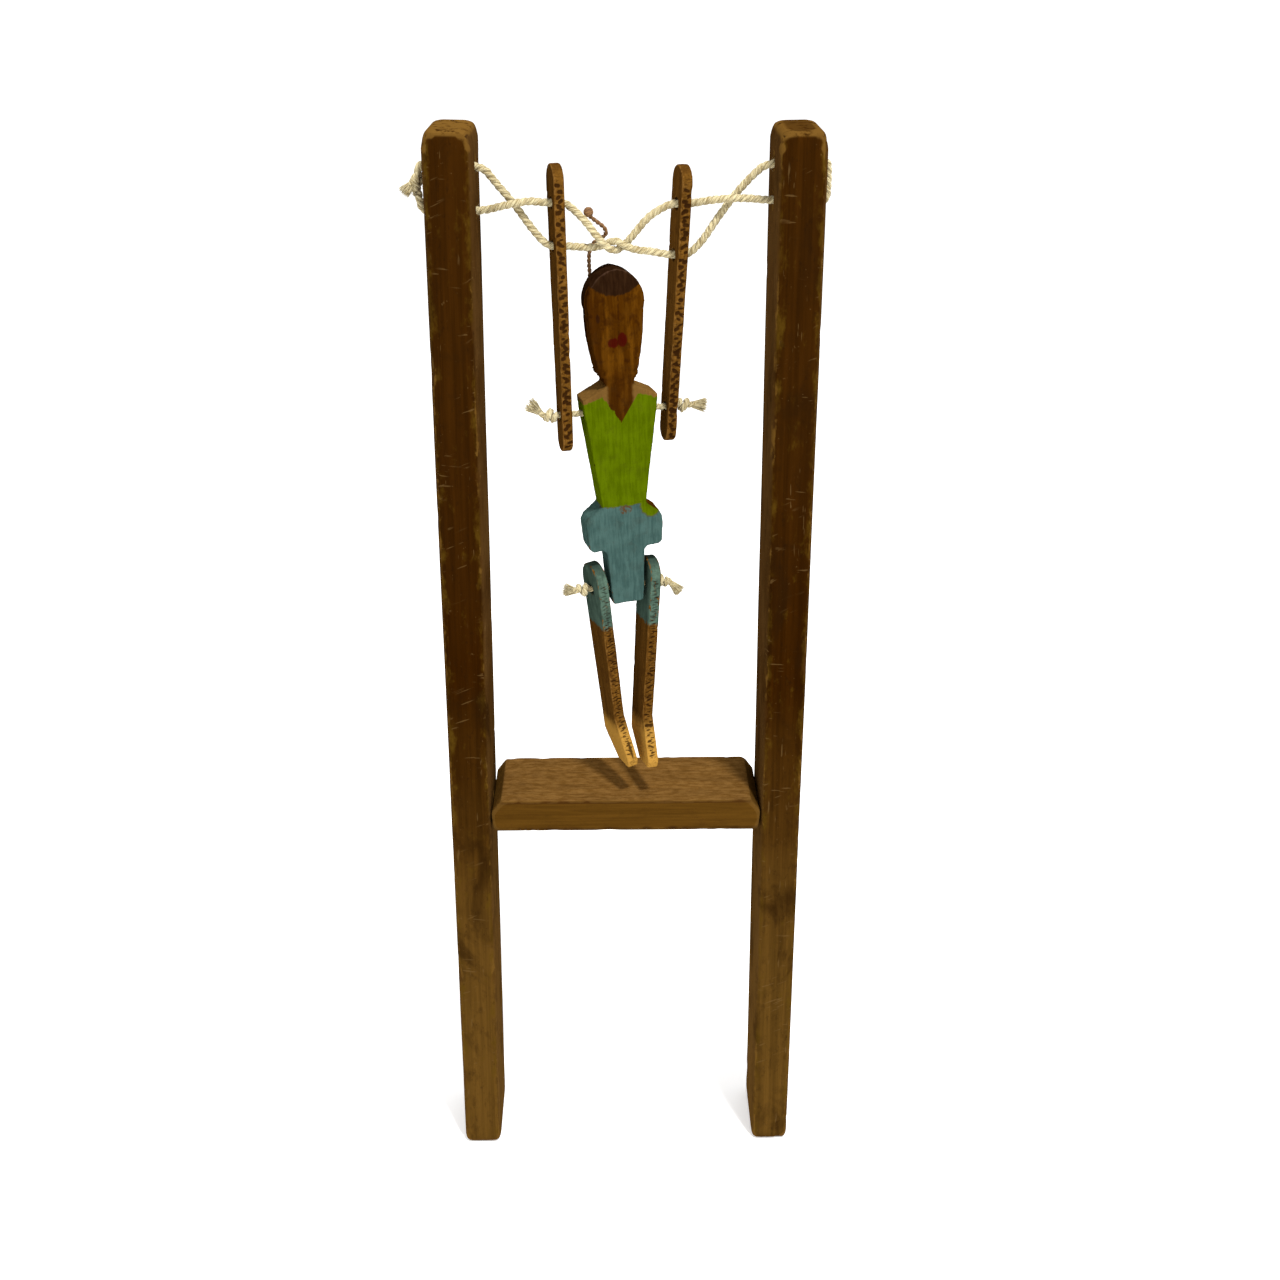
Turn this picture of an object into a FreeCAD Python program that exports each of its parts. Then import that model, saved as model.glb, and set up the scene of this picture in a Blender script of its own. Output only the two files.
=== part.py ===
import FreeCAD, Part
import math
import os

# Squeeze-toy acrobat: two wooden uprights pivot on the ends of a crossbar, and a flat jointed
# figure hangs by its arms from a twisted cord strung between the tops of the uprights.
# Frame: millimetres, +Z up, +X from the left upright to the right one, the toy faces -Y.
# The origin is on the floor, midway between the uprights.

os.makedirs("parts", exist_ok=True)
V = FreeCAD.Vector

# ---- uprights ----
post_width = 11.1            # along X
post_depth = 22.8            # along Y
post_height = 300.0
feet_span = 100.5            # over the outer faces, at the floor
post_lean = 1.08             # degrees, the tops lean towards each other at rest
post_edge_round = 1.4
post_end_round = 1.2

# ---- crossbar ----
feet_above_bar = 8.8         # at rest the soles hang this far over the bar's top
bar_height = 10.0
bar_land = 1.8               # height of the flat nose that bears on each upright
bar_nose_drop = 3.9          # from the top face down to the nose
bar_bevel_top = 2.8          # how far the top face stops short of the nose
bar_bevel_bottom = 0.4
bar_gap = 0.12               # between the nose and the upright
bar_edge_round = 0.5

# ---- pivot nails, one through each upright into the bar's end ----
nail_radius = 0.8
nail_bore_clearance = 0.5
nail_in_bar = 14.0
nail_head_radius = 2.2
nail_head_height = 0.7
nail_head_gap = 0.25

# ---- trapeze cord ----
cord_radius = 0.9
cord_bore_clearance = 0.6
left_upper_hole = post_height - 8.5      # heights of the cord holes in each upright
left_lower_hole = post_height - 19.0
right_upper_hole = post_height - 8.0
right_lower_hole = post_height - 16.6
cord_in_post = 8.0           # how far each span reaches into its upright
knot_radius = 2.1

# ---- the acrobat ----
figure_turn = 15.0           # degrees, it hangs turned a little to its left
figure_x = -1.9              # middle of the shoulders
torso_lean = -2.0            # degrees, the head leans to -X
swing_height = post_height - 22.0        # axis that the arms swing about, between their cord holes

arm_length = 67.0
arm_thickness = 2.6
arm_depth = 8.0
arm_tip_depth = 6.4          # the strip narrows a little to its lower end
arm_top_above_swing = 13.5
arm_upper_hole = 4.8         # above the swing axis
left_arm_lower_hole = 4.8    # below the swing axis
right_arm_lower_hole = 7.0
arm_edge_round = 0.4
left_arm_x = -15.7
right_arm_x = 12.7

shoulder_height = swing_height - 44.4
left_shoulder_reach = 13.3   # from the figure's middle to each arm, along the shoulder cord
right_shoulder_reach = 13.3

board_thickness = 7.0        # the board's heights below are over its shoulder cord
head_top = 35.0
head_half_width = 6.7
head_widest = 24.9
chin_height = 10.0
chin_half_width = 4.7
neck_height = 7.4
neck_half_width = 3.2
collar_height = 6.7
shoulder_half_width = 9.3
shoulder_corner = 4.2
waist_height = -23.8
waist_half_width = 5.6
hip_top = -26.6
hip_half_width = 10.0
hip_bottom = -35.4
hip_bottom_half_width = 9.5
tab_top_half_width = 4.9
tab_half_width = 4.1
tab_bottom = -50.6
hip_bevel = 2.4              # carved facets on the top corners of the hips
face_relief = 1.0            # how far the head's front falls away beside its middle ridge
string_hole_radius = 1.3

# ---- legs ----
hip_height = shoulder_height - 47.1
leg_top_above_hip = 7.3
leg_thickness = 3.0
thigh_depth = 10.0
ankle_depth = 8.4
leg_length = 50.6            # hip cord to sole
ankle_above_sole = 13.4
heel_above_sole = 6.4
foot_reach = 9.9             # toe tip in front of the leg's middle line
toe_height = 2.0
leg_edge_round = 0.4
left_hip_reach = 7.5
right_hip_reach = 6.6
left_leg_lean = 6.5          # degrees, the foot comes in towards the middle
right_leg_lean = 3.0
left_leg_turn = 10.0         # degrees, the left leg has turned further on its loose cord than the hips
right_leg_turn = 5.0
right_leg_forward = 2.0      # degrees, the right leg hangs a little forward

# ---- shoulder and hip cords ----
joint_cord_radius = 0.8
joint_knot_radius = 1.9
joint_knot_gap = 0.35

# ---- hair tail ----
tail_radius = 0.55
tail_bead_radius = 1.25


def unit(v):
    return v * (1.0 / v.Length)


def export(shape, name):
    shape.exportStep("parts/" + name + ".step")
    print(name, "solids", len(shape.Solids), "volume", round(shape.Volume, 2), "valid", shape.isValid())


def cylinder_between(a, b, radius):
    along = b.sub(a)
    return Part.makeCylinder(radius, along.Length, a, along)


def round_edges(shape, radius, chosen):
    return shape.makeFillet(radius, chosen) if chosen else shape


def frame_matrix(origin, x_dir, z_dir):
    """Placement whose local x and z lie along the given directions, x made square to z."""
    z_axis = unit(z_dir)
    y_axis = unit(z_axis.cross(x_dir))
    x_axis = y_axis.cross(z_axis)
    m = FreeCAD.Matrix(x_axis.x, y_axis.x, z_axis.x, origin.x,
                       x_axis.y, y_axis.y, z_axis.y, origin.y,
                       x_axis.z, y_axis.z, z_axis.z, origin.z,
                       0, 0, 0, 1)
    return FreeCAD.Placement(m)


def placed(shape, placement):
    moved = shape.copy()
    moved.Placement = placement.multiply(moved.Placement)
    return moved


def tube(points, radius, label):
    """A round tube along straight runs joined by tangent arcs, each as large as its runs allow."""
    pts = [V(*p) for p in points]
    edges = []
    start = pts[0]
    radii = []
    length = 0.0
    for i in range(1, len(pts) - 1):
        before = unit(pts[i - 1].sub(pts[i]))
        after = unit(pts[i + 1].sub(pts[i]))
        run = min(pts[i].distanceToPoint(pts[i - 1]), pts[i].distanceToPoint(pts[i + 1]))
        inside = before.getAngle(after)
        half_turn = (math.pi - inside) / 2.0
        setback = 0.45 * run
        radii.append(round(setback / math.tan(half_turn), 2))
        arc_start = pts[i] + before * setback
        arc_end = pts[i] + after * setback
        bisector = unit(before + after)
        to_centre = setback / math.cos(inside / 2.0)
        arc_radius = setback * math.tan(inside / 2.0)
        middle = pts[i] + bisector * (to_centre - arc_radius)
        edges.append(Part.LineSegment(start, arc_start).toShape())
        arc = Part.Arc(arc_start, middle, arc_end).toShape()
        edges.append(arc)
        length += start.distanceToPoint(arc_start) + arc.Length
        start = arc_end
    edges.append(Part.LineSegment(start, pts[-1]).toShape())
    length += start.distanceToPoint(pts[-1])
    path = Part.Wire(edges)
    section = Part.Wire([Part.makeCircle(radius, pts[0], pts[1].sub(pts[0]))])
    solid = path.makePipeShell([section], True, True)
    expected = math.pi * radius ** 2 * length
    print(label, "length", round(length, 2), "radii", radii,
          "volume ratio", round(solid.Volume / expected, 4))
    return solid


# ---------------------------------------------------------------- uprights
lean = math.radians(post_lean)
half_span = feet_span / 2.0
bar_top = hip_height - leg_length - feet_above_bar
nose_height = bar_top - bar_nose_drop - bar_land / 2.0


def outer_x(z):
    """Distance of an upright's outer face from the middle, at height z."""
    return half_span - z * math.tan(lean)


def inner_x(z):
    return outer_x(z) - post_width / math.cos(lean)


pivot_x = inner_x(nose_height)


def upright(side, upper_hole, lower_hole):
    """side is -1 for the left upright and +1 for the right one."""
    below = 2.0
    stock = Part.makeBox(post_width, post_depth, post_height + below)
    stock.translate(V(-post_width, -post_depth / 2.0, -below))
    stock.rotate(V(0, 0, 0), V(0, 1, 0), -post_lean)
    stock.translate(V(half_span, 0, 0))
    floor = Part.makeBox(4 * post_width, 2 * post_depth, 10.0, V(half_span - 2 * post_width, -post_depth, -10.0))
    post = stock.cut(floor)
    long_edges = [e for e in post.Edges if abs(e.Vertexes[0].Z - e.Vertexes[1].Z) > post_height / 2]
    post = round_edges(post, post_edge_round, long_edges)
    end_edges = []
    for e in post.Edges:
        low = min(v.Z for v in e.Vertexes)
        high = max(v.Z for v in e.Vertexes)
        if high < 1.0 or low > post_height - 3.0:
            end_edges.append(e)
    post = round_edges(post, post_end_round, end_edges)
    nail_bore = nail_radius + nail_bore_clearance
    cord_bore = cord_radius + cord_bore_clearance
    for z, r in ((nose_height, nail_bore), (upper_hole, cord_bore), (lower_hole, cord_bore)):
        post = post.cut(Part.makeCylinder(r, 4 * post_width, V(half_span - 3 * post_width, 0, z), V(1, 0, 0)))
    return post if side > 0 else post.mirror(V(0, 0, 0), V(1, 0, 0))


export(upright(-1, left_upper_hole, left_lower_hole), "left_post")
export(upright(1, right_upper_hole, right_lower_hole), "right_post")

# ---------------------------------------------------------------- crossbar and its nails
nose = pivot_x - bar_gap
bar_bottom = bar_top - bar_height
land_top = nose_height + bar_land / 2.0
land_bottom = nose_height - bar_land / 2.0
bar_outline = [
    (nose - bar_bevel_top, bar_top), (nose, land_top), (nose, land_bottom), (nose - bar_bevel_bottom, bar_bottom),
    (-(nose - bar_bevel_bottom), bar_bottom), (-nose, land_bottom), (-nose, land_top), (-(nose - bar_bevel_top), bar_top),
]
bar_wire = Part.makePolygon([V(x, -post_depth / 2.0, z) for x, z in bar_outline + bar_outline[:1]])
crossbar = Part.Face(bar_wire).extrude(V(0, post_depth, 0))
bar_long_edges = [e for e in crossbar.Edges if abs(e.Vertexes[0].Point.x - e.Vertexes[1].Point.x) > nose]
crossbar = round_edges(crossbar, bar_edge_round, bar_long_edges)

nails = []
for side in (-1, 1):
    head_inner = outer_x(nose_height) + nail_head_gap
    tip = nose - nail_in_bar
    shank = Part.makeCylinder(nail_radius, head_inner - tip, V(side * tip, 0, nose_height), V(side, 0, 0))
    head = Part.makeCylinder(nail_head_radius, nail_head_height, V(side * head_inner, 0, nose_height), V(side, 0, 0))
    nails.append(shank.fuse(head).removeSplitter())
    crossbar = crossbar.cut(shank)
export(crossbar, "crossbar")
export(Part.Compound(nails), "bar_nails")

# ---------------------------------------------------------------- acrobat's own directions
turn = math.radians(figure_turn)
across = V(math.cos(turn), math.sin(turn), 0)      # along the shoulders, towards its left hand
facing = V(math.sin(turn), -math.cos(turn), 0)
shoulder_mid = V(figure_x, 0, shoulder_height)
hip_shift = (shoulder_height - hip_height) * math.tan(math.radians(torso_lean))
hip_mid = V(figure_x - hip_shift, 0, hip_height)


# ---------------------------------------------------------------- arms
def arm_blank():
    """A flat strip in its own frame: z runs up from the swing axis, y is its depth, x its thickness."""
    top = arm_top_above_swing
    bottom = top - arm_length
    r_top = arm_depth / 2.0
    r_bottom = arm_tip_depth / 2.0
    outline = Part.Wire([
        Part.LineSegment(V(0, r_bottom, bottom + r_bottom), V(0, r_top, top - r_top)).toShape(),
        Part.Arc(V(0, r_top, top - r_top), V(0, 0, top), V(0, -r_top, top - r_top)).toShape(),
        Part.LineSegment(V(0, -r_top, top - r_top), V(0, -r_bottom, bottom + r_bottom)).toShape(),
        Part.Arc(V(0, -r_bottom, bottom + r_bottom), V(0, 0, bottom), V(0, r_bottom, bottom + r_bottom)).toShape(),
    ])
    strip = Part.Face(outline).extrude(V(arm_thickness, 0, 0))
    strip.translate(V(-arm_thickness / 2.0, 0, 0))
    rim = [e for e in strip.Edges if abs(abs(e.CenterOfMass.x) - arm_thickness / 2.0) < 0.01]
    return round_edges(strip, arm_edge_round, rim)


def arm(x, reach, lower_hole):
    """The arm, and the middles of its upper and lower cord holes."""
    top_point = V(x, 0, swing_height)
    shoulder_point = shoulder_mid + across * reach
    placement = frame_matrix(top_point, across, top_point.sub(shoulder_point))
    strip = arm_blank()
    drop = top_point.distanceToPoint(shoulder_point)
    cord_bore = cord_radius + cord_bore_clearance
    for z, r in ((arm_upper_hole, cord_bore), (-lower_hole, cord_bore), (-drop, string_hole_radius)):
        strip = strip.cut(Part.makeCylinder(r, 4 * arm_thickness, V(-2 * arm_thickness, 0, z), V(1, 0, 0)))
    holes = [placement.multVec(V(0, 0, z)) for z in (arm_upper_hole, -lower_hole)]
    return placed(strip, placement), holes


left_arm, left_holes = arm(left_arm_x, -left_shoulder_reach, left_arm_lower_hole)
right_arm, right_holes = arm(right_arm_x, right_shoulder_reach, right_arm_lower_hole)
export(left_arm, "left_arm")
export(right_arm, "right_arm")


# ---------------------------------------------------------------- head, torso and hips, one sawn board
def board():
    """Front outline in the figure's own frame: x across, z up from the shoulder cord, y the thickness."""
    def side(s):
        """Outline of one side from the neck down to the tab, s = +1 or -1."""
        return [
            V(s * neck_half_width, 0, neck_height),
            V(s * (neck_half_width + 0.9), 0, collar_height),
            V(s * shoulder_half_width, 0, shoulder_corner),
            V(s * (shoulder_half_width - 0.3), 0, shoulder_corner - 3.4),
            V(s * waist_half_width, 0, waist_height),
            V(s * (hip_half_width - 0.8), 0, hip_top),
            V(s * hip_half_width, 0, hip_top - 1.6),
            V(s * hip_bottom_half_width, 0, hip_bottom + 0.8),
            V(s * (hip_bottom_half_width - 0.9), 0, hip_bottom),
            V(s * (tab_top_half_width + 0.9), 0, hip_bottom),
            V(s * tab_top_half_width, 0, hip_bottom - 0.9),
            V(s * tab_half_width, 0, tab_bottom + 0.5),
            V(s * (tab_half_width - 0.5), 0, tab_bottom),
        ]

    right = side(1)
    left = side(-1)
    chin_right = V(chin_half_width, 0, chin_height)
    chin_left = V(-chin_half_width, 0, chin_height)
    wide_right = V(head_half_width, 0, head_widest)
    wide_left = V(-head_half_width, 0, head_widest)
    crown = V(0, 0, head_top)
    cheek = (chin_half_width + head_half_width) / 2.0 + 0.5
    cheek_height = (chin_height + head_widest) / 2.0
    temple = head_half_width * 0.76
    temple_height = head_widest + (head_top - head_widest) * 0.72
    edges = [
        Part.Arc(chin_right, V(cheek, 0, cheek_height), wide_right).toShape(),
        Part.Arc(wide_right, V(temple, 0, temple_height), crown).toShape(),
        Part.Arc(crown, V(-temple, 0, temple_height), wide_left).toShape(),
        Part.Arc(wide_left, V(-cheek, 0, cheek_height), chin_left).toShape(),
    ]
    down_left = [chin_left] + left
    up_right = list(reversed(right)) + [chin_right]
    for run in (down_left, [left[-1], right[-1]], up_right):
        for a, b in zip(run, run[1:]):
            edges.append(Part.LineSegment(a, b).toShape())
    outline = Part.Wire(edges)
    body = Part.Face(outline).extrude(V(0, board_thickness, 0))
    body.translate(V(0, -board_thickness / 2.0, 0))

    # the face: two flats that fall away from a ridge down the middle of the head
    front = -board_thickness / 2.0
    half = head_half_width + 2.0
    fall = face_relief * half / head_half_width
    for s in (-1, 1):
        wedge = Part.Face(Part.makePolygon([
            V(0, front, 0), V(s * half, front + fall, 0), V(s * half, front - 3.0, 0), V(0, front - 3.0, 0), V(0, front, 0),
        ])).extrude(V(0, 0, head_top - chin_height + 10.0))
        wedge.translate(V(0, 0, chin_height))
        body = body.cut(wedge)

    # carved facets on the front top corners of the hips
    for s in (-1, 1):
        apex = V(s * (waist_half_width - 1.0), front, waist_height)
        low = V(s * (hip_half_width + 0.4), front, hip_top - 3.6)
        back = V(s * (hip_half_width + 0.4), front + hip_bevel, hip_top + 0.6)
        far = V(s * (hip_half_width + 3.0), front - 4.0, hip_top + 3.0)
        faces = [Part.Face(Part.makePolygon([a, b, c, a])) for a, b, c in
                 ((apex, low, back), (apex, back, far), (apex, far, low), (low, far, back))]
        facet = Part.Solid(Part.Shell(faces))
        if facet.Volume < 0:
            facet = Part.Solid(Part.Shell([f.reversed() for f in faces]))
        body = body.cut(facet)

    shoulder_bore = Part.makeCylinder(string_hole_radius, 4 * shoulder_half_width,
                                      V(-2 * shoulder_half_width, 0, 0), V(1, 0, 0))
    return body.cut(shoulder_bore)


body_placement = frame_matrix(shoulder_mid, across, V(math.tan(math.radians(torso_lean)), 0, 1))
acrobat_body = placed(board(), body_placement)
hip_bore = cylinder_between(hip_mid - across * (3 * tab_half_width), hip_mid + across * (3 * tab_half_width), string_hole_radius)
acrobat_body = acrobat_body.cut(hip_bore)
export(acrobat_body, "acrobat_body")


# ---------------------------------------------------------------- legs
def leg_blank():
    """Side outline in the leg's own frame: z up from the hip cord, -y forward, x the thickness."""
    thigh = thigh_depth / 2.0
    ankle = ankle_depth / 2.0
    sole = -leg_length
    instep = sole + ankle_above_sole
    top = leg_top_above_hip
    points = [
        V(0, -thigh, top - thigh),
        V(0, -ankle, instep),
        V(0, -foot_reach, sole + toe_height),
        V(0, -foot_reach + 0.5, sole + 0.3),
        V(0, -foot_reach + 1.6, sole),
        V(0, ankle - 7.0, sole),
        V(0, ankle, sole + heel_above_sole),
        V(0, thigh, top - thigh),
    ]
    edges = [Part.LineSegment(a, b).toShape() for a, b in zip(points, points[1:])]
    edges.append(Part.Arc(points[-1], V(0, 0, top), points[0]).toShape())
    strip = Part.Face(Part.Wire(edges)).extrude(V(leg_thickness, 0, 0))
    strip.translate(V(-leg_thickness / 2.0, 0, 0))
    rim = [e for e in strip.Edges if abs(abs(e.CenterOfMass.x) - leg_thickness / 2.0) < 0.01]
    strip = round_edges(strip, leg_edge_round, rim)
    return strip.cut(Part.makeCylinder(string_hole_radius, 4 * leg_thickness, V(-2 * leg_thickness, 0, 0), V(1, 0, 0)))


def leg(reach, lean_degrees, forward_degrees, turn_degrees):
    """lean_degrees tips the foot along +across, forward_degrees swings it along facing."""
    pivot = hip_mid + across * reach
    own_turn = math.radians(figure_turn + turn_degrees)
    own_across = V(math.cos(own_turn), math.sin(own_turn), 0)
    down = V(0, 0, -1) + across * math.tan(math.radians(lean_degrees)) + facing * math.tan(math.radians(forward_degrees))
    return placed(leg_blank(), frame_matrix(pivot, own_across, down * -1.0))


export(leg(-left_hip_reach, left_leg_lean, 0.0, left_leg_turn), "left_leg")
export(leg(right_hip_reach, -right_leg_lean, right_leg_forward, right_leg_turn), "right_leg")


# ---------------------------------------------------------------- shoulder and hip cords with their knots
def pin_cord(middle, left_reach, right_reach, left_half, right_half):
    """A short cord through a joint, knotted outside the pieces it holds."""
    left_knot = left_reach + left_half + joint_knot_gap + joint_knot_radius
    right_knot = right_reach + right_half + joint_knot_gap + joint_knot_radius
    a = middle - across * left_knot
    b = middle + across * right_knot
    body = cylinder_between(a, b, joint_cord_radius)
    for centre in (a, b):
        body = body.fuse(Part.makeSphere(joint_knot_radius, centre))
    return body.removeSplitter()


export(pin_cord(shoulder_mid, left_shoulder_reach, right_shoulder_reach, arm_thickness / 2.0, arm_thickness / 2.0),
       "shoulder_cord")
slant = 0.5 * string_hole_radius      # a leaning leg reaches further along the cord at its hole's rim
export(pin_cord(hip_mid, left_hip_reach, right_hip_reach, leg_thickness / 2.0 + slant, leg_thickness / 2.0 + slant / 2.0),
       "hip_cord")

# ---------------------------------------------------------------- trapeze cord
left_end = -(inner_x(left_upper_hole) + cord_in_post)
right_end = inner_x(right_upper_hole) + cord_in_post
mouth_step = 1.0                     # the cord leaves a bore straight for this far
arm_step = 2.4                       # and an arm's hole for this far, from the arm's middle
ply = 1.25                           # half the distance between two strings where they cross


def from_post(side, height):
    end = left_end if side < 0 else right_end
    return [(end, 0, height), (side * (inner_x(height) - mouth_step), 0, height)]


def from_arm(hole, side):
    """The arm's end of a span: outside the hole first, then the hole's middle."""
    return [(hole.x + side * arm_step, hole.y, hole.z), (hole.x, hole.y, hole.z)]


def span(begin, between, finish, label):
    """between lists (share of the way from begin to finish, y, height over the swing axis)."""
    start_x = begin[-1][0]
    run = finish[0][0] - start_x
    points = [(start_x + share * run, y, swing_height + rise) for share, y, rise in between]
    return tube(begin + points + finish, cord_radius, label)


left_span = [
    span(from_post(-1, left_upper_hole), [(0.21, 0.7, 9.4), (0.49, ply, 4.4), (0.77, 0.6, -1.2)],
         from_arm(left_holes[1], -1), "left span, upper hole to lower hole"),
    span(from_post(-1, left_lower_hole), [(0.24, -0.7, 3.9), (0.5, -ply, 4.9), (0.77, -0.6, 5.4)],
         from_arm(left_holes[0], -1), "left span, lower hole to upper hole"),
]
middle_span = [
    span(from_arm(left_holes[0], 1)[::-1],
         [(0.17, -0.4, 1.2), (0.285, -1.0, -2.3), (0.37, -ply, -4.8), (0.47, 0.0, -6.1), (0.56, ply, -4.8),
          (0.65, 1.0, -2.3), (0.795, 0.4, 2.0)],
         from_arm(right_holes[0], -1), "middle span, over the top"),
    span(from_arm(left_holes[1], 1)[::-1],
         [(0.165, 0.5, -5.3), (0.28, 1.0, -5.4), (0.375, ply, -4.7), (0.475, 0.0, -3.5), (0.57, -ply, -4.7),
          (0.68, -0.9, -5.6), (0.835, -0.4, -6.0)],
         from_arm(right_holes[1], -1), "middle span, underneath"),
]
right_span = [
    span(from_arm(right_holes[0], 1)[::-1], [(0.245, -0.7, 5.6), (0.52, -ply, 6.1), (0.77, -0.7, 6.0)],
         from_post(1, right_lower_hole)[::-1], "right span, upper hole to lower hole"),
    span(from_arm(right_holes[1], 1)[::-1],
         [(0.18, 0.4, -3.8), (0.37, 0.8, 1.4), (0.58, ply, 6.4), (0.795, 0.7, 10.8)],
         from_post(1, right_upper_hole)[::-1], "right span, lower hole to upper hole"),
]
export(Part.Compound(left_span), "cord_left_span")
export(Part.Compound(middle_span), "cord_middle_span")
export(Part.Compound(right_span), "cord_right_span")

# ---------------------------------------------------------------- what rides on the uprights' outer faces
seat_gap = 0.3                       # inside the bore, between a span's end and the cord beyond it
loop_stand_off = cord_radius + 0.4
outer_loop = tube([
    (right_end + seat_gap, 0, right_upper_hole),
    (outer_x(right_upper_hole) + loop_stand_off, 0, right_upper_hole),
    (outer_x(right_lower_hole) + loop_stand_off, 0, right_lower_hole),
    (right_end + seat_gap, 0, right_lower_hole),
], cord_radius, "outer loop")
export(outer_loop, "cord_outer_loop")

knot_centre = V(-(outer_x(left_upper_hole) + 0.4 + knot_radius), -0.4, left_upper_hole - 3.5)
end_knot = Part.makeSphere(knot_radius, knot_centre)
for height in (left_upper_hole, left_lower_hole):
    bend = V(-(outer_x(height) + loop_stand_off), 0, height)
    inside = V(left_end - seat_gap, 0, height)
    end_knot = end_knot.fuse(cylinder_between(inside, bend, cord_radius))
    end_knot = end_knot.fuse(Part.makeSphere(cord_radius, bend))
    end_knot = end_knot.fuse(cylinder_between(bend, knot_centre, cord_radius))
for tail_end, radius in ((V(-2.25, -2.7, -2.6), 0.65), (V(-0.35, -1.8, -3.4), 0.5)):
    end_knot = end_knot.fuse(cylinder_between(knot_centre, knot_centre + tail_end, radius))
export(end_knot.removeSplitter(), "cord_end_knot")

# ---------------------------------------------------------------- hair tail, caught up behind the cords
board_half = board_thickness / 2.0
tail_steps = [                       # x, y behind the board's back, height over the swing axis
    (-8.2, -0.2, -15.2), (-8.3, -0.4, -12.0), (-8.5, -0.7, -8.8), (-8.3, -0.7, -6.2), (-7.0, -0.5, -4.3),
    (-4.9, -0.5, -3.4), (-4.2, -0.9, -2.2), (-5.0, -1.6, -0.8), (-6.6, -2.1, 0.4), (-8.0, -2.5, 1.6),
]
tail_route = [(x, board_half + y, swing_height + rise) for x, y, rise in tail_steps]
tail = tube(tail_route, tail_radius, "hair tail")
bead = Part.makeSphere(tail_bead_radius, V(*tail_route[-1]) + V(-0.4, 0, 1.0))
export(tail.fuse(bead).removeSplitter(), "hair_tail")
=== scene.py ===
import math
import random

import bpy
import bmesh
import numpy as np
from mathutils import Matrix, Vector, noise


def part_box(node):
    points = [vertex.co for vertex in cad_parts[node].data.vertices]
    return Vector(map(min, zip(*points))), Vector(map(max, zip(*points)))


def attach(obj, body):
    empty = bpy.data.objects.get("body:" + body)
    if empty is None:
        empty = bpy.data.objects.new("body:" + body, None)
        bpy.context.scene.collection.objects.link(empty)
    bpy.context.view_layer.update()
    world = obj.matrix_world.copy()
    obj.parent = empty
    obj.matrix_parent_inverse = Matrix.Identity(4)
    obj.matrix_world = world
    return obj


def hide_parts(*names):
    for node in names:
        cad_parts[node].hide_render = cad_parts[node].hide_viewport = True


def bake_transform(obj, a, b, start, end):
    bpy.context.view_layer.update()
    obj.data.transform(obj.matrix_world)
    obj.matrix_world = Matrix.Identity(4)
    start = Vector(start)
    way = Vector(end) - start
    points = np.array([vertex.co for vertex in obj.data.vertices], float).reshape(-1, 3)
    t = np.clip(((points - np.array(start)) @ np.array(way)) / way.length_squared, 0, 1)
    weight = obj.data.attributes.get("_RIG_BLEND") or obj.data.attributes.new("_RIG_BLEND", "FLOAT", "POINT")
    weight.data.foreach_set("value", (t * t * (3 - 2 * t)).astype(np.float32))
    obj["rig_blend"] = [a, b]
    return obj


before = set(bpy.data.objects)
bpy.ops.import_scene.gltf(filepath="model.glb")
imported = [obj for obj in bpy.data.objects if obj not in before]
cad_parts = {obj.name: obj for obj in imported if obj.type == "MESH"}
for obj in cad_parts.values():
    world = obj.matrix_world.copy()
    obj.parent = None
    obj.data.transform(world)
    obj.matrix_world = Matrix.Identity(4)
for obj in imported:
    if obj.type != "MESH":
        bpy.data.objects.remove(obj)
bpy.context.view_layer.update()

mm = 0.001

# the toy's own directions and places, shared by every piece that hangs on it
toy = {
    "turn": 15.0,                          # degrees, the figure hangs turned to its left
    "lean": -2.0,                          # degrees, its head leans to -X
    "shoulders": (-1.9, 0.0, 233.6),       # mm, middle of the shoulder cord
    "hips": (-0.255, 0.0, 186.5),          # mm, middle of the hip cord
    "swing": 278.0,                        # mm, height of the axis the arms swing about
    "armX": {"left": -15.7, "right": 12.7},
    "shoulderReach": 13.3,
    "barNose": 122.3,                      # mm, height of the bar's pivots
}
turn = math.radians(toy["turn"])
across = Vector((math.cos(turn), math.sin(turn), 0))       # towards the figure's left hand
facing = Vector((math.sin(turn), -math.cos(turn), 0))      # the way it looks


view = {
    "place": (-3.01, -334.11, 341.87),     # mm
    "lens": 39.836,
    "yaw": 1.176, "pitch": 27.171, "roll": 0.225,          # degrees
}
studio = {
    "floorTone": (0.92, 0.92, 0.915), "floorGlow": 0.30,
    "skyStrength": 0.90,
    "key": {"place": (0.24, -0.42, 1.25), "size": 0.12, "power": 15.0},
    "fill": {"place": (-0.75, -0.55, 0.55), "size": 0.9, "power": 0.4},
    "back": {"place": (0.15, 0.9, 0.8), "size": 0.9, "power": 1.0},
}


def makeCamera():
    data = bpy.data.cameras.new("camera")
    data.lens = view["lens"]
    data.sensor_width = 36
    data.clip_start, data.clip_end = 0.01, 50
    camera = bpy.data.objects.new("camera", data)
    bpy.context.scene.collection.objects.link(camera)
    yaw, pitch, roll = (math.radians(view[k]) for k in ("yaw", "pitch", "roll"))
    turned = (Matrix.Rotation(-yaw, 4, "Z") @ Matrix.Rotation(math.pi / 2 - pitch, 4, "X")
              @ Matrix.Rotation(roll, 4, "Z"))
    camera.matrix_world = Matrix.Translation(Vector(view["place"]) * mm) @ turned
    bpy.context.scene.camera = camera


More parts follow.
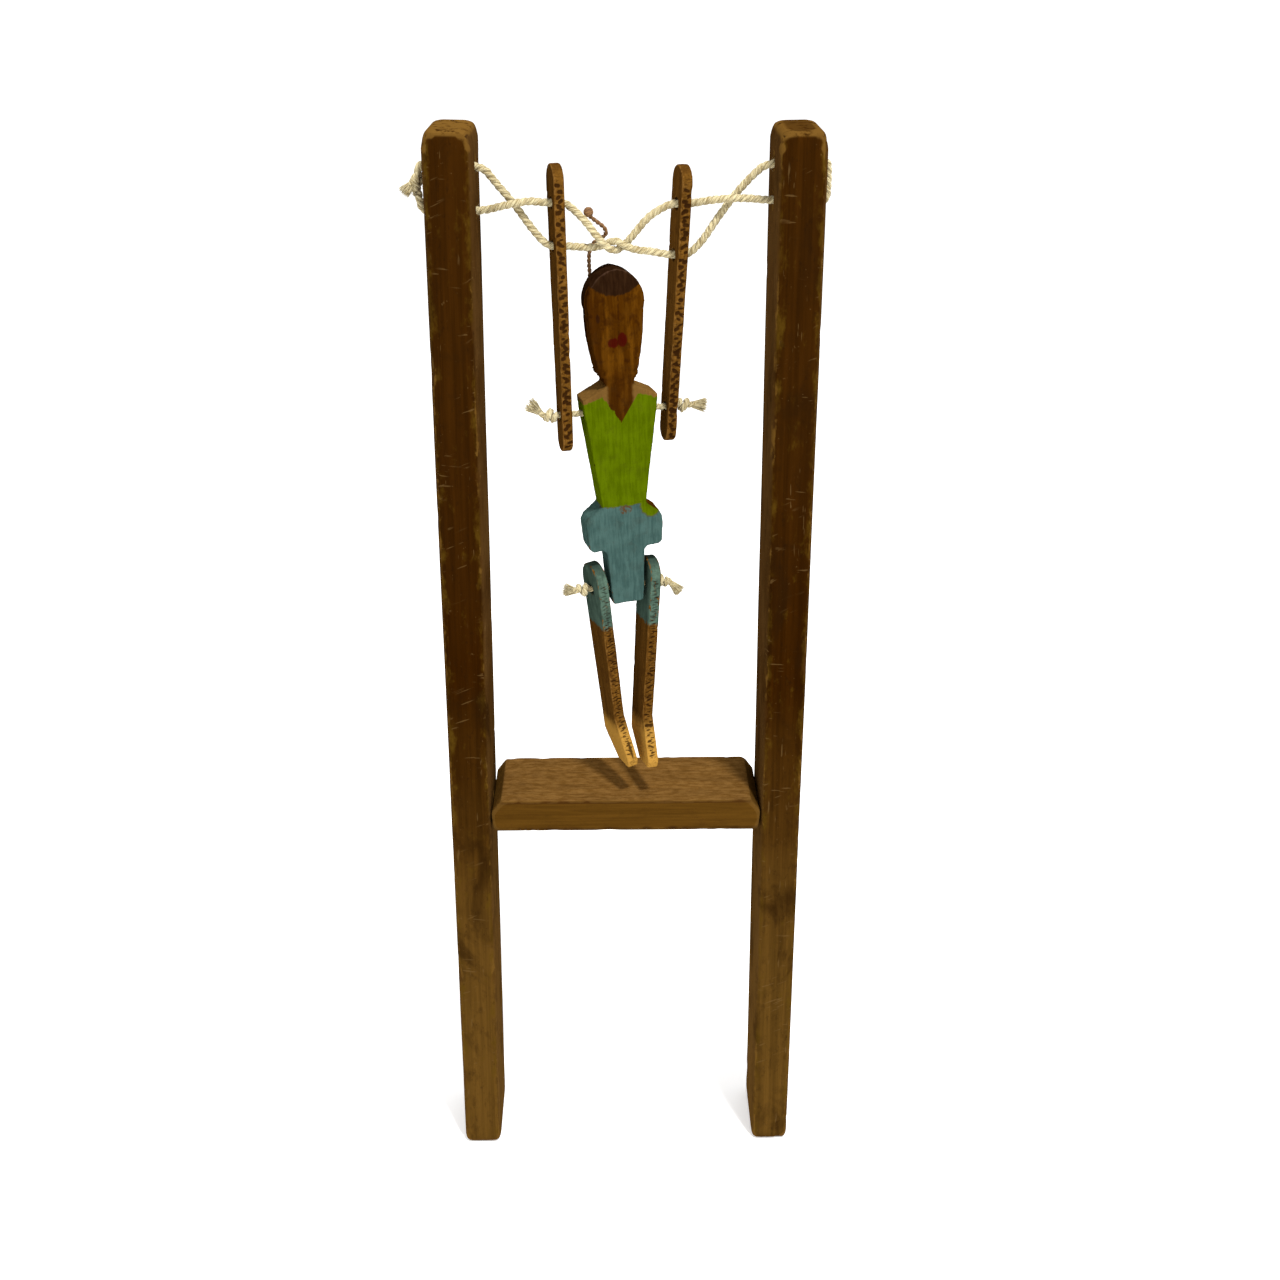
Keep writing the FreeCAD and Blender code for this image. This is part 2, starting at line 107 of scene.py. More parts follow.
def makeLight(name, place, size, power):
    data = bpy.data.lights.new(name, "AREA")
    data.shape = "DISK"
    data.size = size
    data.energy = power
    light = bpy.data.objects.new(name, data)
    light.location = place
    aim = Vector((0, 0, 0.16)) - Vector(place)
    light.rotation_euler = aim.to_track_quat("-Z", "Y").to_euler()
    bpy.context.scene.collection.objects.link(light)


def makeStudio():
    world = bpy.data.worlds.new("paleRoom")
    world.use_nodes = True
    sky = world.node_tree.nodes["Background"]
    sky.inputs["Color"].default_value = (1, 1, 1, 1)
    sky.inputs["Strength"].default_value = studio["skyStrength"]
    bpy.context.scene.world = world
    bpy.context.scene.view_settings.view_transform = "Standard"
    for name in ("key", "fill", "back"):
        makeLight(name, **studio[name])
    mesh = bpy.data.meshes.new("floor")
    grid = bmesh.new()
    bmesh.ops.create_grid(grid, x_segments=4, y_segments=4, size=12)
    grid.to_mesh(mesh)
    grid.free()
    floor = bpy.data.objects.new("floor", mesh)
    bpy.context.scene.collection.objects.link(floor)
    material = bpy.data.materials.new("paleFloor")
    material.use_nodes = True
    tree = material.node_tree
    shader = tree.nodes["Principled BSDF"]
    shader.inputs["Roughness"].default_value = 0.9
    shader.inputs["Emission Color"].default_value = (1, 1, 1, 1)
    shader.inputs["Emission Strength"].default_value = studio["floorGlow"]
    mottle = noiseAt(tree, textureSpace(tree), 3.0, 3.0)
    tree.links.new(mixTone(tree, mottle, (*studio["floorTone"], 1), (0.94, 0.94, 0.94, 1)),
                   shader.inputs["Base Color"])
    mesh.materials.append(material)
    print("studio ready")


def tone(red, green, blue):
    # a screen colour, 0 to 255, as the linear colour that the nodes want
    channels = []
    for value in (red, green, blue):
        share = value / 255
        channels.append(share / 12.92 if share <= 0.04045 else ((share + 0.055) / 1.055) ** 2.4)
    return (*channels, 1)


def feed(tree, socket, value):
    if isinstance(value, bpy.types.NodeSocket):
        tree.links.new(value, socket)
    elif value is not None:
        socket.default_value = value


def calc(tree, operation, a, b=None, c=None, clamp=False):
    made = tree.nodes.new("ShaderNodeMath")
    made.operation = operation
    made.use_clamp = clamp
    for socket, value in zip(made.inputs, (a, b, c)):
        feed(tree, socket, value)
    return made.outputs[0]


def remap(tree, value, low, high, toLow=0.0, toHigh=1.0):
    made = tree.nodes.new("ShaderNodeMapRange")
    made.interpolation_type = "SMOOTHSTEP"
    for name, given in (("Value", value), ("From Min", low), ("From Max", high), ("To Min", toLow),
                        ("To Max", toHigh)):
        feed(tree, made.inputs[name], given)
    return made.outputs["Result"]


def mixTone(tree, share, a, b, mode="MIX"):
    made = tree.nodes.new("ShaderNodeMix")
    made.data_type = "RGBA"
    made.blend_type = mode
    feed(tree, made.inputs[0], share)
    feed(tree, made.inputs[6], a)
    feed(tree, made.inputs[7], b)
    return made.outputs[2]


def scaled(tree, vector, factors):
    made = tree.nodes.new("ShaderNodeVectorMath")
    made.operation = "MULTIPLY"
    feed(tree, made.inputs[0], vector)
    feed(tree, made.inputs[1], factors)
    return made.outputs[0]


def shifted(tree, vector, offset):
    made = tree.nodes.new("ShaderNodeVectorMath")
    made.operation = "ADD"
    feed(tree, made.inputs[0], vector)
    feed(tree, made.inputs[1], offset)
    return made.outputs[0]


def noiseAt(tree, vector, scale, detail=3.0, roughness=0.55, distortion=0.0):
    made = tree.nodes.new("ShaderNodeTexNoise")
    feed(tree, made.inputs["Vector"], vector)
    feed(tree, made.inputs["Scale"], scale)
    made.inputs["Detail"].default_value = detail
    made.inputs["Roughness"].default_value = roughness
    made.inputs["Distortion"].default_value = distortion
    return made.outputs[0]


def textureSpace(tree):
    return tree.nodes.new("ShaderNodeTexCoord").outputs["Object"]


def stored(tree, name, vector=False):
    made = tree.nodes.new("ShaderNodeAttribute")
    made.attribute_name = name
    return made.outputs["Vector" if vector else "Fac"]


def ownSpace(tree):
    # the piece's own coordinates, and the same moved by its seed so that no two pieces share a pattern
    own = stored(tree, "ownPlace", vector=True)
    seed = stored(tree, "seed")
    combine = tree.nodes.new("ShaderNodeCombineXYZ")
    for socket in combine.inputs:
        tree.links.new(seed, socket)
    return own, shifted(tree, own, combine.outputs[0])


def parts(tree, vector):
    made = tree.nodes.new("ShaderNodeSeparateXYZ")
    feed(tree, made.inputs[0], vector)
    return made.outputs[0], made.outputs[1], made.outputs[2]


def place(tree, group, **inputs):
    made = tree.nodes.new("ShaderNodeGroup")
    made.node_tree = group
    for name, value in inputs.items():
        feed(tree, made.inputs[name], value)
    return made.outputs


def startGroup(name, inputs, outputs):
    group = bpy.data.node_groups.new(name, "ShaderNodeTree")
    kinds = {"v": "NodeSocketVector", "f": "NodeSocketFloat", "c": "NodeSocketColor"}
    for label, kind, value in inputs:
        socket = group.interface.new_socket(label, in_out="INPUT", socket_type=kinds[kind])
        if kind != "v":
            socket.default_value = value
    for label, kind in outputs:
        group.interface.new_socket(label, in_out="OUTPUT", socket_type=kinds[kind])
    return group, group.nodes.new("NodeGroupInput").outputs, group.nodes.new("NodeGroupOutput").inputs


def raised(tree, height, strength, distance, below=None):
    made = tree.nodes.new("ShaderNodeBump")
    feed(tree, made.inputs["Height"], height)
    made.inputs["Strength"].default_value = strength
    made.inputs["Distance"].default_value = distance
    if below is not None:
        tree.links.new(below, made.inputs["Normal"])
    return made.outputs[0]


def makeGrain():
    # long fibres and pores along the piece's own length
    group, given, out = startGroup(
        "woodGrain",
        [("Place", "v", None), ("Across", "f", 1400.0), ("Along", "f", 45.0),
         ("Light", "c", (1, 1, 1, 1)),
         ("Dark", "c", (0, 0, 0, 1)), ("Contrast", "f", 1.0)],
        [("Color", "c"), ("Height", "f"), ("Pores", "f")])
    combine = group.nodes.new("ShaderNodeCombineXYZ")
    feed(group, combine.inputs[0], given["Across"])
    feed(group, combine.inputs[1], given["Across"])
    feed(group, combine.inputs[2], given["Along"])
    along = scaled(group, given["Place"], combine.outputs[0])
    fibres = noiseAt(group, along, 1.0, 5.0, 0.62, 0.25)
    bands = noiseAt(group, scaled(group, along, (0.22, 0.22, 0.35)), 1.0, 3.0, 0.5, 0.6)
    pores = remap(group, noiseAt(group, scaled(group, along, (2.2, 2.2, 2.6)), 1.0, 2.0, 0.5), 0.60,
                  0.70)
    blended = calc(group, "ADD", calc(group, "MULTIPLY", fibres, 0.6),
                   calc(group, "MULTIPLY", bands, 0.4))
    centred = calc(group, "MULTIPLY_ADD", calc(group, "SUBTRACT", blended, 0.5), given["Contrast"], 0.5)
    share = remap(group, centred, 0.34, 0.66)
    feed(group, out["Color"], mixTone(group, share, given["Dark"], given["Light"]))
    feed(group, out["Height"], calc(group, "SUBTRACT", fibres, calc(group, "MULTIPLY", pores, 0.5)))
    feed(group, out["Pores"], pores)
    return group


def makeEdgeWear():
    # rubbed corners, broken up so that no edge is worn evenly
    group, given, out = startGroup(
        "rubbedEdges",
        [("Place", "v", None), ("Edge", "f", 0.0), ("Scale", "f", 180.0), ("Amount", "f", 0.5)],
        [("Mask", "f")])
    patchy = noiseAt(group, given["Place"], given["Scale"], 5.0, 0.6)
    level = calc(group, "ADD", given["Edge"],
                 calc(group, "MULTIPLY", calc(group, "SUBTRACT", patchy, 0.5), 0.9))
    start = calc(group, "SUBTRACT", 1.05, given["Amount"])
    feed(group, out["Mask"], remap(group, level, start, calc(group, "ADD", start, 0.22)))
    return group


def makeScratches():
    # thin pale lines in patches, and small chips
    group, given, out = startGroup(
        "scratches",
        [("Place", "v", None), ("Scale", "f", 120.0), ("Amount", "f", 0.5)],
        [("Mask", "f"), ("Chips", "f")])
    lines = None
    for tilt, offset in ((0.0, 3.1), (1.50, 7.7), (-1.15, 5.3)):
        turned = group.nodes.new("ShaderNodeVectorRotate")
        turned.rotation_type = "Y_AXIS"
        feed(group, turned.inputs["Vector"], given["Place"])
        turned.inputs["Angle"].default_value = tilt
        moved = shifted(group, scaled(group, turned.outputs[0], (8.0, 8.0, 0.9)),
                        (offset, offset, offset))
        line = remap(group, noiseAt(group, moved, given["Scale"], 2.0, 0.5), 0.665, 0.70)
        patch = remap(group, noiseAt(group, given["Place"],
                                     calc(group, "MULTIPLY", given["Scale"], 0.45 + tilt * 0.1), 2.0),
                      0.52, 0.62)
        line = calc(group, "MULTIPLY", line, patch)
        lines = line if lines is None else calc(group, "MAXIMUM", lines, line)
    specks = noiseAt(group, given["Place"], calc(group, "MULTIPLY", given["Scale"], 7.0), 3.0, 0.6)
    chips = remap(group, specks, 0.70, 0.73)
    feed(group, out["Mask"], calc(group, "MULTIPLY", lines, given["Amount"]))
    feed(group, out["Chips"], calc(group, "MULTIPLY", chips, given["Amount"]))
    return group


def makeStains():
    # soft dark blotches and finer grime
    group, given, out = startGroup(
        "stains", [("Place", "v", None), ("Scale", "f", 60.0), ("Amount", "f", 0.5)],
        [("Mask", "f"), ("Speckle", "f")])
    blotch = remap(group, noiseAt(group, given["Place"], given["Scale"], 5.0, 0.62, 0.5), 0.50, 0.72)
    fine = remap(group, noiseAt(group, given["Place"], calc(group, "MULTIPLY", given["Scale"], 9.0),
                                4.0, 0.7), 0.58, 0.70)
    feed(group, out["Mask"], calc(group, "MULTIPLY", blotch, given["Amount"]))
    feed(group, out["Speckle"], calc(group, "MULTIPLY", fine, given["Amount"]))
    return group


def makeBrushedPaint():
    # thin paint with brush streaks; it has gone from edges, pits and in small flakes
    group, given, out = startGroup(
        "brushedPaint",
        [("Place", "v", None), ("Paint", "c", (0.1, 0.3, 0.3, 1)), ("Deep", "c", (0.05, 0.15, 0.15, 1)),
         ("Edge", "f", 0.0), ("Pit", "f", 0.0), ("Wear", "f", 0.4)],
        [("Color", "c"), ("Cover", "f"), ("Height", "f")])
    streaks = noiseAt(group, scaled(group, given["Place"], (1500.0, 900.0, 160.0)), 1.0, 4.0, 0.6)
    clouds = noiseAt(group, given["Place"], 260.0, 3.0, 0.5)
    share = remap(group, calc(group, "ADD", calc(group, "MULTIPLY", streaks, 0.55),
                              calc(group, "MULTIPLY", clouds, 0.45)),
                  0.36, 0.62)
    flakes = noiseAt(group, scaled(group, given["Place"], (1.0, 1.0, 0.55)), 620.0, 5.0, 0.68)
    lost = calc(group, "ADD", calc(group, "MULTIPLY", flakes, 1.0),
                calc(group, "MULTIPLY", given["Edge"], 0.42))
    lost = calc(group, "ADD", lost, calc(group, "MULTIPLY", given["Pit"], 0.35))
    start = calc(group, "SUBTRACT", 1.15, given["Wear"])
    feed(group, out["Color"], mixTone(group, share, given["Deep"], given["Paint"]))
    feed(group, out["Cover"], remap(group, lost, start, calc(group, "ADD", start, 0.07), 1.0, 0.0))
    feed(group, out["Height"], streaks)
    return group


def makeFibres():
    # cotton fibres that run along each strand with its own twist
    group, given, out = startGroup(
        "cottonFibres",
        [("Place", "v", None), ("Light", "c", (1, 1, 1, 1)), ("Shade", "c", (0.5, 0.4, 0.3, 1)),
         ("Soil", "f", 0.3)],
        [("Color", "c"), ("Height", "f")])
    threads = noiseAt(group, scaled(group, given["Place"], (5200.0, 5200.0, 420.0)), 1.0, 3.0, 0.6)
    soft = noiseAt(group, given["Place"], 150.0, 3.0, 0.6)
    share = remap(group, threads, 0.36, 0.60)
    base = mixTone(group, share, given["Shade"], given["Light"])
    dirt = calc(group, "MULTIPLY", remap(group, soft, 0.42, 0.70), given["Soil"])
    feed(group, out["Color"], mixTone(group, dirt, base, given["Shade"]))
    feed(group, out["Height"], threads)
    return group


effects = {}


def makeEffects():
    effects["grain"] = makeGrain()
    effects["edges"] = makeEdgeWear()
    effects["scratches"] = makeScratches()
    effects["stains"] = makeStains()
    effects["paint"] = makeBrushedPaint()
    effects["fibres"] = makeFibres()
    print("shared effects ready")


def startMaterial(name):
    material = bpy.data.materials.new(name)
    material.use_nodes = True
    tree = material.node_tree
    return material, tree, tree.nodes["Principled BSDF"]


def readPoints(mesh):
    co = np.zeros(len(mesh.vertices) * 3)
    mesh.vertices.foreach_get("co", co)
    return co.reshape(-1, 3)


def readNormals(mesh):
    normals = np.zeros(len(mesh.vertices) * 3)
    mesh.vertex_normals.foreach_get("vector", normals)
    return normals.reshape(-1, 3)


def readEdges(mesh):
    pairs = np.zeros(len(mesh.edges) * 2, dtype=np.int64)
    mesh.edges.foreach_get("vertices", pairs)
    return pairs.reshape(-1, 2)


def relaxed(points, edges, rounds):
    # every point moves to the mean of its neighbours, several times
    count = len(points)
    ends = np.concatenate([edges[:, 0], edges[:, 1]])
    others = np.concatenate([edges[:, 1], edges[:, 0]])
    number = np.maximum(np.bincount(ends, minlength=count), 1)[:, None]
    moved = points
    for _ in range(rounds):
        moved = np.stack([np.bincount(ends, moved[others, axis], count) for axis in range(3)],
                         axis=1) / number
    return moved


def roughness(points, scale, offset, octaves=3):
    # seeded noise at every point; scale is features per metre along each axis
    shifted = points * np.array(scale) + offset
    return np.array([noise.fractal(Vector(p), 1.0, 2.0, octaves) for p in shifted])


def keep(mesh, name, values, vector=False):
    attribute = mesh.attributes.new(name, "FLOAT_VECTOR" if vector else "FLOAT", "POINT")
    attribute.data.foreach_set("vector" if vector else "value",
                               np.asarray(values, dtype=np.float32).ravel())


def addObject(name, mesh, material=None):
    obj = bpy.data.objects.new(name, mesh)
    bpy.context.scene.collection.objects.link(obj)
    if material is not None:
        mesh.materials.clear()
        mesh.materials.append(material)
    mesh.polygons.foreach_set("use_smooth", [True] * len(mesh.polygons))
    return obj


def fineCopy(node, name, voxel, soften):
    # an even, fine mesh of a CAD node, ready to carve
    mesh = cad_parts[node].data.copy()
    mesh.materials.clear()
    welded = bmesh.new()
    welded.from_mesh(mesh)
    bmesh.ops.remove_doubles(welded, verts=welded.verts, dist=0.000002)
    welded.to_mesh(mesh)
    welded.free()
    rough = bpy.data.objects.new(name + "Rough", mesh)
    bpy.context.scene.collection.objects.link(rough)
    remesh = rough.modifiers.new("remesh", "REMESH")
    remesh.mode = "VOXEL"
    remesh.voxel_size = voxel
    smooth = rough.modifiers.new("smooth", "SMOOTH")
    smooth.factor = 0.5
    smooth.iterations = soften
    bpy.context.view_layer.update()
    seen = rough.evaluated_get(bpy.context.evaluated_depsgraph_get())
    fine = bpy.data.meshes.new_from_object(seen)
    fine.name = name
    bpy.data.objects.remove(rough)
    for attribute in [a.name for a in fine.attributes
                      if a.name not in ("position", "sharp_face", "material_index")
                      and not a.name.startswith(".")]:
        fine.attributes.remove(fine.attributes[attribute])
    return addObject(name, fine)


def carve(obj, push, normals):
    # moves the points along their normals, push in metres
    mesh = obj.data
    moved = readPoints(mesh) + normals * push[:, None]
    mesh.vertices.foreach_set("co", moved.ravel())
    mesh.update()


def edgeMeasure(points, edges, normals, rounds, reach):
    # 0 on flats and in hollows, 1 on an edge that stands out by reach
    out = ((points - relaxed(points, edges, rounds)) * normals).sum(axis=1)
    return np.clip(out / reach, 0, 1)


def ownFrame(origin, xDir, zDir):
    # rows are the piece's own x, y and z; the same frame as the piece has in CAD
    z = np.array(zDir.normalized())
    y = np.array(zDir.cross(xDir).normalized())
    x = np.cross(y, z)
    return np.array(origin), np.array([x, y, z])


def inFrame(points, origin, axes):
    return (points - origin) @ axes.T


def smoothStep(values, low, high):
    t = np.clip((values - low) / (high - low), 0, 1)
    return t * t * (3 - 2 * t)


uprights = {
    "voxel": 0.62 * mm,
    "soften": 5,
    "lean": 1.08,                 # degrees
    "topRound": 1.3 * mm,         # how far the top's corners are worn down
    "waviness": 0.10 * mm,        # hand-planed faces are not quite flat
    "dents": 0.16 * mm,
    "nicks": 34, "nickDepth": 0.45 * mm,                  # along each upright's long edges
    "half": (0.00555, 0.0114),    # metres, half its thickness and half its depth
    "footX": 44.70 * mm,          # middle of each foot, from the middle of the toy
    # how far rounding reaches
    "roundX": 3.2 * mm, "roundY": 4.2 * mm, "roundTop": 4.0 * mm, "roundFoot": 3.0 * mm,
    "longEdgeWear": 0.22 * mm, "edgeReach": 0.16 * mm,
    "topTone": (46, 24, 3), "middleTone": (41, 19, 1), "lowTone": (80, 56, 20),
    "goldTone": (78, 56, 12),
    "wornTone": (100, 71, 28), "sideTone": (88, 62, 30), "stainTone": (34, 18, 4),
    "scratchTone": (100, 76, 42), "speckTone": (28, 14, 4), "nickTone": (62, 34, 12),
    "capWear": {"left": 1.0, "right": 0.30},              # how bare the sawn top is
}


def upright(side):
    print("upright", side)
    sign = -1 if side == "left" else 1
    rng = random.Random(11 if side == "left" else 12)
    obj = fineCopy(side + "_post", side + "Upright", uprights["voxel"], uprights["soften"])
    points, normals, edges = readPoints(obj.data), readNormals(obj.data), readEdges(obj.data)
    _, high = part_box(side + "_post")
    lean = math.radians(uprights["lean"])
    axis = Vector((-sign * math.sin(lean), 0, math.cos(lean)))
    half = np.array(uprights["half"])
    foot = Vector((sign * uprights["footX"], 0, 0))
    own = inFrame(points, *ownFrame(foot, Vector((1, 0, 0)), axis))
    # corners of the top rubbed round: the nearer to two edges, the further down
    nearX = np.clip(1 - (half[0] - np.abs(own[:, 0])) / uprights["roundX"], 0, 1)
    nearY = np.clip(1 - (half[1] - np.abs(own[:, 1])) / uprights["roundY"], 0, 1)
    nearTop = np.clip(1 - (high.z - points[:, 2]) / uprights["roundTop"], 0, 1)
    nearFoot = np.clip(1 - points[:, 2] / uprights["roundFoot"], 0, 1)
    worn = uprights["topRound"] * nearTop ** 1.5 * (0.55 * nearX ** 2 + 0.35 * nearY ** 2
                                                    + 0.9 * (nearX * nearY) ** 1.5)
    worn += 0.5 * uprights["topRound"] * nearFoot ** 1.5 * (0.5 * nearX ** 2 + nearY ** 2 * 0.4)
    worn += uprights["longEdgeWear"] * (nearX * nearY) ** 2 * (1
                                                               + roughness(own, (60, 60, 22),
                                                                       3.0 + sign, 2))
    push = -worn
    push += uprights["waviness"] * roughness(own, (35, 35, 9), 10.0 + sign, 2)
    dents = roughness(own, (260, 260, 110), 20.0 + sign, 3)
    push -= uprights["dents"] * smoothStep(dents, 0.35, 0.8)
    nick = np.zeros(len(points))
    for _ in range(uprights["nicks"]):
        corner = np.array([rng.choice((-1, 1)) * half[0], rng.choice((-1, 1)) * half[1],
                           rng.uniform(0.004, 0.297)])
        size = np.array([0.9, 0.9, rng.uniform(0.6, 3.0)]) * mm * rng.uniform(0.6, 1.3)
        reach = (((own - corner) / size) ** 2).sum(axis=1)
        nick = np.maximum(nick, np.exp(-reach) * rng.uniform(0.4, 1.0))
    push -= uprights["nickDepth"] * nick
    carve(obj, push, normals)
    points, normals = readPoints(obj.data), readNormals(obj.data)
    keep(obj.data, "ownPlace", inFrame(points, *ownFrame(foot, Vector((1, 0, 0)), axis)), vector=True)
    keep(obj.data, "edge", edgeMeasure(points, edges, normals, 4, uprights["edgeReach"]))
    keep(obj.data, "nick", nick)
    keep(obj.data, "side", np.abs(normals[:, 0]))
    keep(obj.data, "upward", np.clip(normals[:, 2], 0, 1))
    keep(obj.data, "seed", np.full(len(points), 0.37 * (2 + sign)))
    keep(obj.data, "nearEdge", nearX * nearY)
    keep(obj.data, "capWear", np.full(len(points), uprights["capWear"][side]))
    obj.data.materials.append(uprightMaterial())
    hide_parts(side + "_post")
    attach(obj, side + "_upright")
    return obj


def uprightMaterial():
    name = "agedVarnish"
    if name in bpy.data.materials:
        return bpy.data.materials[name]
    material, tree, shader = startMaterial(name)
    own, spot = ownSpace(tree)
    edge = stored(tree, "edge")
    _, _, height = parts(tree, own)
    wobble = calc(tree, "MULTIPLY_ADD", noiseAt(tree, spot, 22.0, 3.0), 0.07, -0.035)
    level = calc(tree, "ADD", height, wobble)
    lower = mixTone(tree, remap(tree, level, 0.050, 0.168), tone(*uprights["lowTone"]),
                    tone(*uprights["middleTone"]))
    base = mixTone(tree, remap(tree, level, 0.150, 0.240), lower, tone(*uprights["topTone"]))
    grain = place(tree, effects["grain"], Place=spot, Across=1100.0, Along=26.0,
                  Light=(1.28, 1.26, 1.22, 1), Dark=(0.76, 0.74, 0.70, 1), Contrast=1.0)
    colour = mixTone(tree, 1.0, base, grain["Color"], "MULTIPLY")
    sides = calc(tree, "MULTIPLY", remap(tree, stored(tree, "side"), 0.45, 0.95), 0.62)
    sides = calc(tree, "MULTIPLY", sides,
                 remap(tree, noiseAt(tree, spot, 45.0, 4.0), 0.25, 0.65, 0.45, 1.0))
    colour = mixTone(tree, sides, colour, tone(*uprights["sideTone"]))
    mottle = noiseAt(tree, scaled(tree, spot, (1, 1, 0.5)), 330.0, 6.0, 0.68)
    nearEdge = remap(tree, stored(tree, "nearEdge"), 0.0, 0.9)
    gold = remap(tree, calc(tree, "ADD", mottle, calc(tree, "MULTIPLY", nearEdge, 0.20)), 0.58, 0.84)
    front = calc(tree, "SUBTRACT", 1.0, remap(tree, stored(tree, "side"), 0.45, 0.95))
    gold = calc(tree, "MULTIPLY", calc(tree, "MULTIPLY", gold, front), 0.75)
    colour = mixTone(tree, gold, colour, tone(*uprights["goldTone"]))
    darker = calc(tree, "MULTIPLY", remap(tree, mottle, 0.48, 0.34), 0.30)
    colour = mixTone(tree, darker, colour, tone(*uprights["stainTone"]))
    stains = place(tree, effects["stains"], Place=scaled(tree, spot, (1, 1, 0.45)), Scale=85.0,
                   Amount=0.7)
    colour = mixTone(tree, stains["Mask"], colour, tone(*uprights["stainTone"]))
    colour = mixTone(tree, calc(tree, "MULTIPLY", stains["Speckle"], 0.55), colour,
                     tone(*uprights["speckTone"]))
    scratches = place(tree, effects["scratches"], Place=spot, Scale=150.0, Amount=0.75)
    colour = mixTone(tree, calc(tree, "MULTIPLY", scratches["Mask"], 0.55), colour,
                     tone(*uprights["scratchTone"]))
    colour = mixTone(tree, calc(tree, "MULTIPLY", scratches["Chips"], 0.5), colour,
                     tone(*uprights["scratchTone"]))
    rubbed = place(tree, effects["edges"], Place=spot, Edge=edge, Scale=260.0, Amount=0.30)["Mask"]
    rubbed = calc(tree, "MULTIPLY", rubbed, 0.7)
    upward = stored(tree, "upward")
    rim = calc(tree, "MULTIPLY", remap(tree, edge, 0.15, 0.5), remap(tree, upward, 0.25, 0.5))
    cap = calc(tree, "MULTIPLY", remap(tree, upward, 0.6, 0.9), stored(tree, "capWear"))
    cap = calc(tree, "MAXIMUM", cap, calc(tree, "MULTIPLY", rim, 0.8))
    cap = calc(tree, "MULTIPLY", cap, remap(tree, noiseAt(tree, spot, 420.0, 4.0, 0.65), 0.34, 0.50))
    rubbed = calc(tree, "MAXIMUM", rubbed, cap)
    colour = mixTone(tree, rubbed, colour, tone(*uprights["wornTone"]))
    colour = mixTone(tree, calc(tree, "MULTIPLY", stored(tree, "nick"), 0.6), colour,
                     tone(*uprights["nickTone"]))
    feed(tree, shader.inputs["Base Color"], colour)
    gloss = remap(tree, noiseAt(tree, spot, 130.0, 4.0), 0.3, 0.7, 0.40, 0.62)
    gloss = calc(tree, "MAXIMUM", gloss, calc(tree, "MULTIPLY", rubbed, 0.8))
    feed(tree, shader.inputs["Roughness"], gloss)
    shader.inputs["Specular IOR Level"].default_value = 0.0
    bumps = raised(tree, grain["Height"], 0.35, 0.00016)
    bumps = raised(tree, scratches["Mask"], 0.35, -0.00015, bumps)
    feed(tree, shader.inputs["Normal"], bumps)
    return material


crossbar = {
    "voxel": 0.5 * mm, "soften": 3,
    "top": 127.1 * mm, "bottom": 117.1 * mm, "frontDepth": 11.4 * mm,
    "waviness": 0.06 * mm, "dents": 0.12 * mm, "edgeReach": 0.26 * mm,
    # along the top and bottom edges, front and back
    "nicks": 26, "nickDepth": 0.35 * mm,
    "seamHeight": 0.93,           # share of the height where a dark line runs along the front
    "topTone": (90, 62, 25), "topPale": (110, 80, 40), "frontTone": (78, 52, 14),
    "endTone": (86, 60, 22),
    "stainTone": (36, 18, 6), "lowTone": (34, 16, 6), "seamTone": (52, 28, 8),
    "speckTone": (60, 30, 16),
    "wornTone": (112, 84, 42), "nickTone": (60, 34, 14),
}


def makeCrossbar():
    print("crossbar")
    rng = random.Random(21)
    obj = fineCopy("crossbar", "crossbar", crossbar["voxel"], crossbar["soften"])
    points, normals, edges = readPoints(obj.data), readNormals(obj.data), readEdges(obj.data)
    frameOfBar = ownFrame(Vector((0, 0, crossbar["bottom"])), Vector((0, 1, 0)), Vector((1, 0, 0)))
    own = inFrame(points, *frameOfBar)
    push = crossbar["waviness"] * roughness(own, (70, 70, 18), 31.0, 2)
    push -= crossbar["dents"] * smoothStep(roughness(own, (420, 420, 180), 35.0, 3), 0.35, 0.8)
    nick = np.zeros(len(points))
    half = (crossbar["top"] - crossbar["bottom"]) / 2
    for _ in range(crossbar["nicks"]):
        corner = np.array([rng.uniform(-0.034, 0.034), rng.choice((-1, 1)) * crossbar["frontDepth"],
                           crossbar["bottom"] + half + rng.choice((-1, 1)) * half])
        size = np.array([rng.uniform(0.5, 2.6), 0.7, 0.7]) * mm * rng.uniform(0.6, 1.2)
        reach = (((points - corner) / size) ** 2).sum(axis=1)
        nick = np.maximum(nick, np.exp(-reach) * rng.uniform(0.4, 1))
    push -= crossbar["nickDepth"] * nick
    carve(obj, push, normals)
    points, normals = readPoints(obj.data), readNormals(obj.data)
    keep(obj.data, "ownPlace", inFrame(points, *frameOfBar), vector=True)
    keep(obj.data, "edge", edgeMeasure(points, edges, normals, 8, crossbar["edgeReach"]))
    keep(obj.data, "upward", np.clip(normals[:, 2], 0, 1))
    keep(obj.data, "endward", smoothStep(np.abs(normals[:, 0]), 0.3, 0.7))
    keep(obj.data, "heightUp",
         (points[:, 2] - crossbar["bottom"]) / (crossbar["top"] - crossbar["bottom"]))
    keep(obj.data, "nick", nick)
    obj.data.materials.append(crossbarMaterial())
    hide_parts("crossbar")
    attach(obj, "frame")


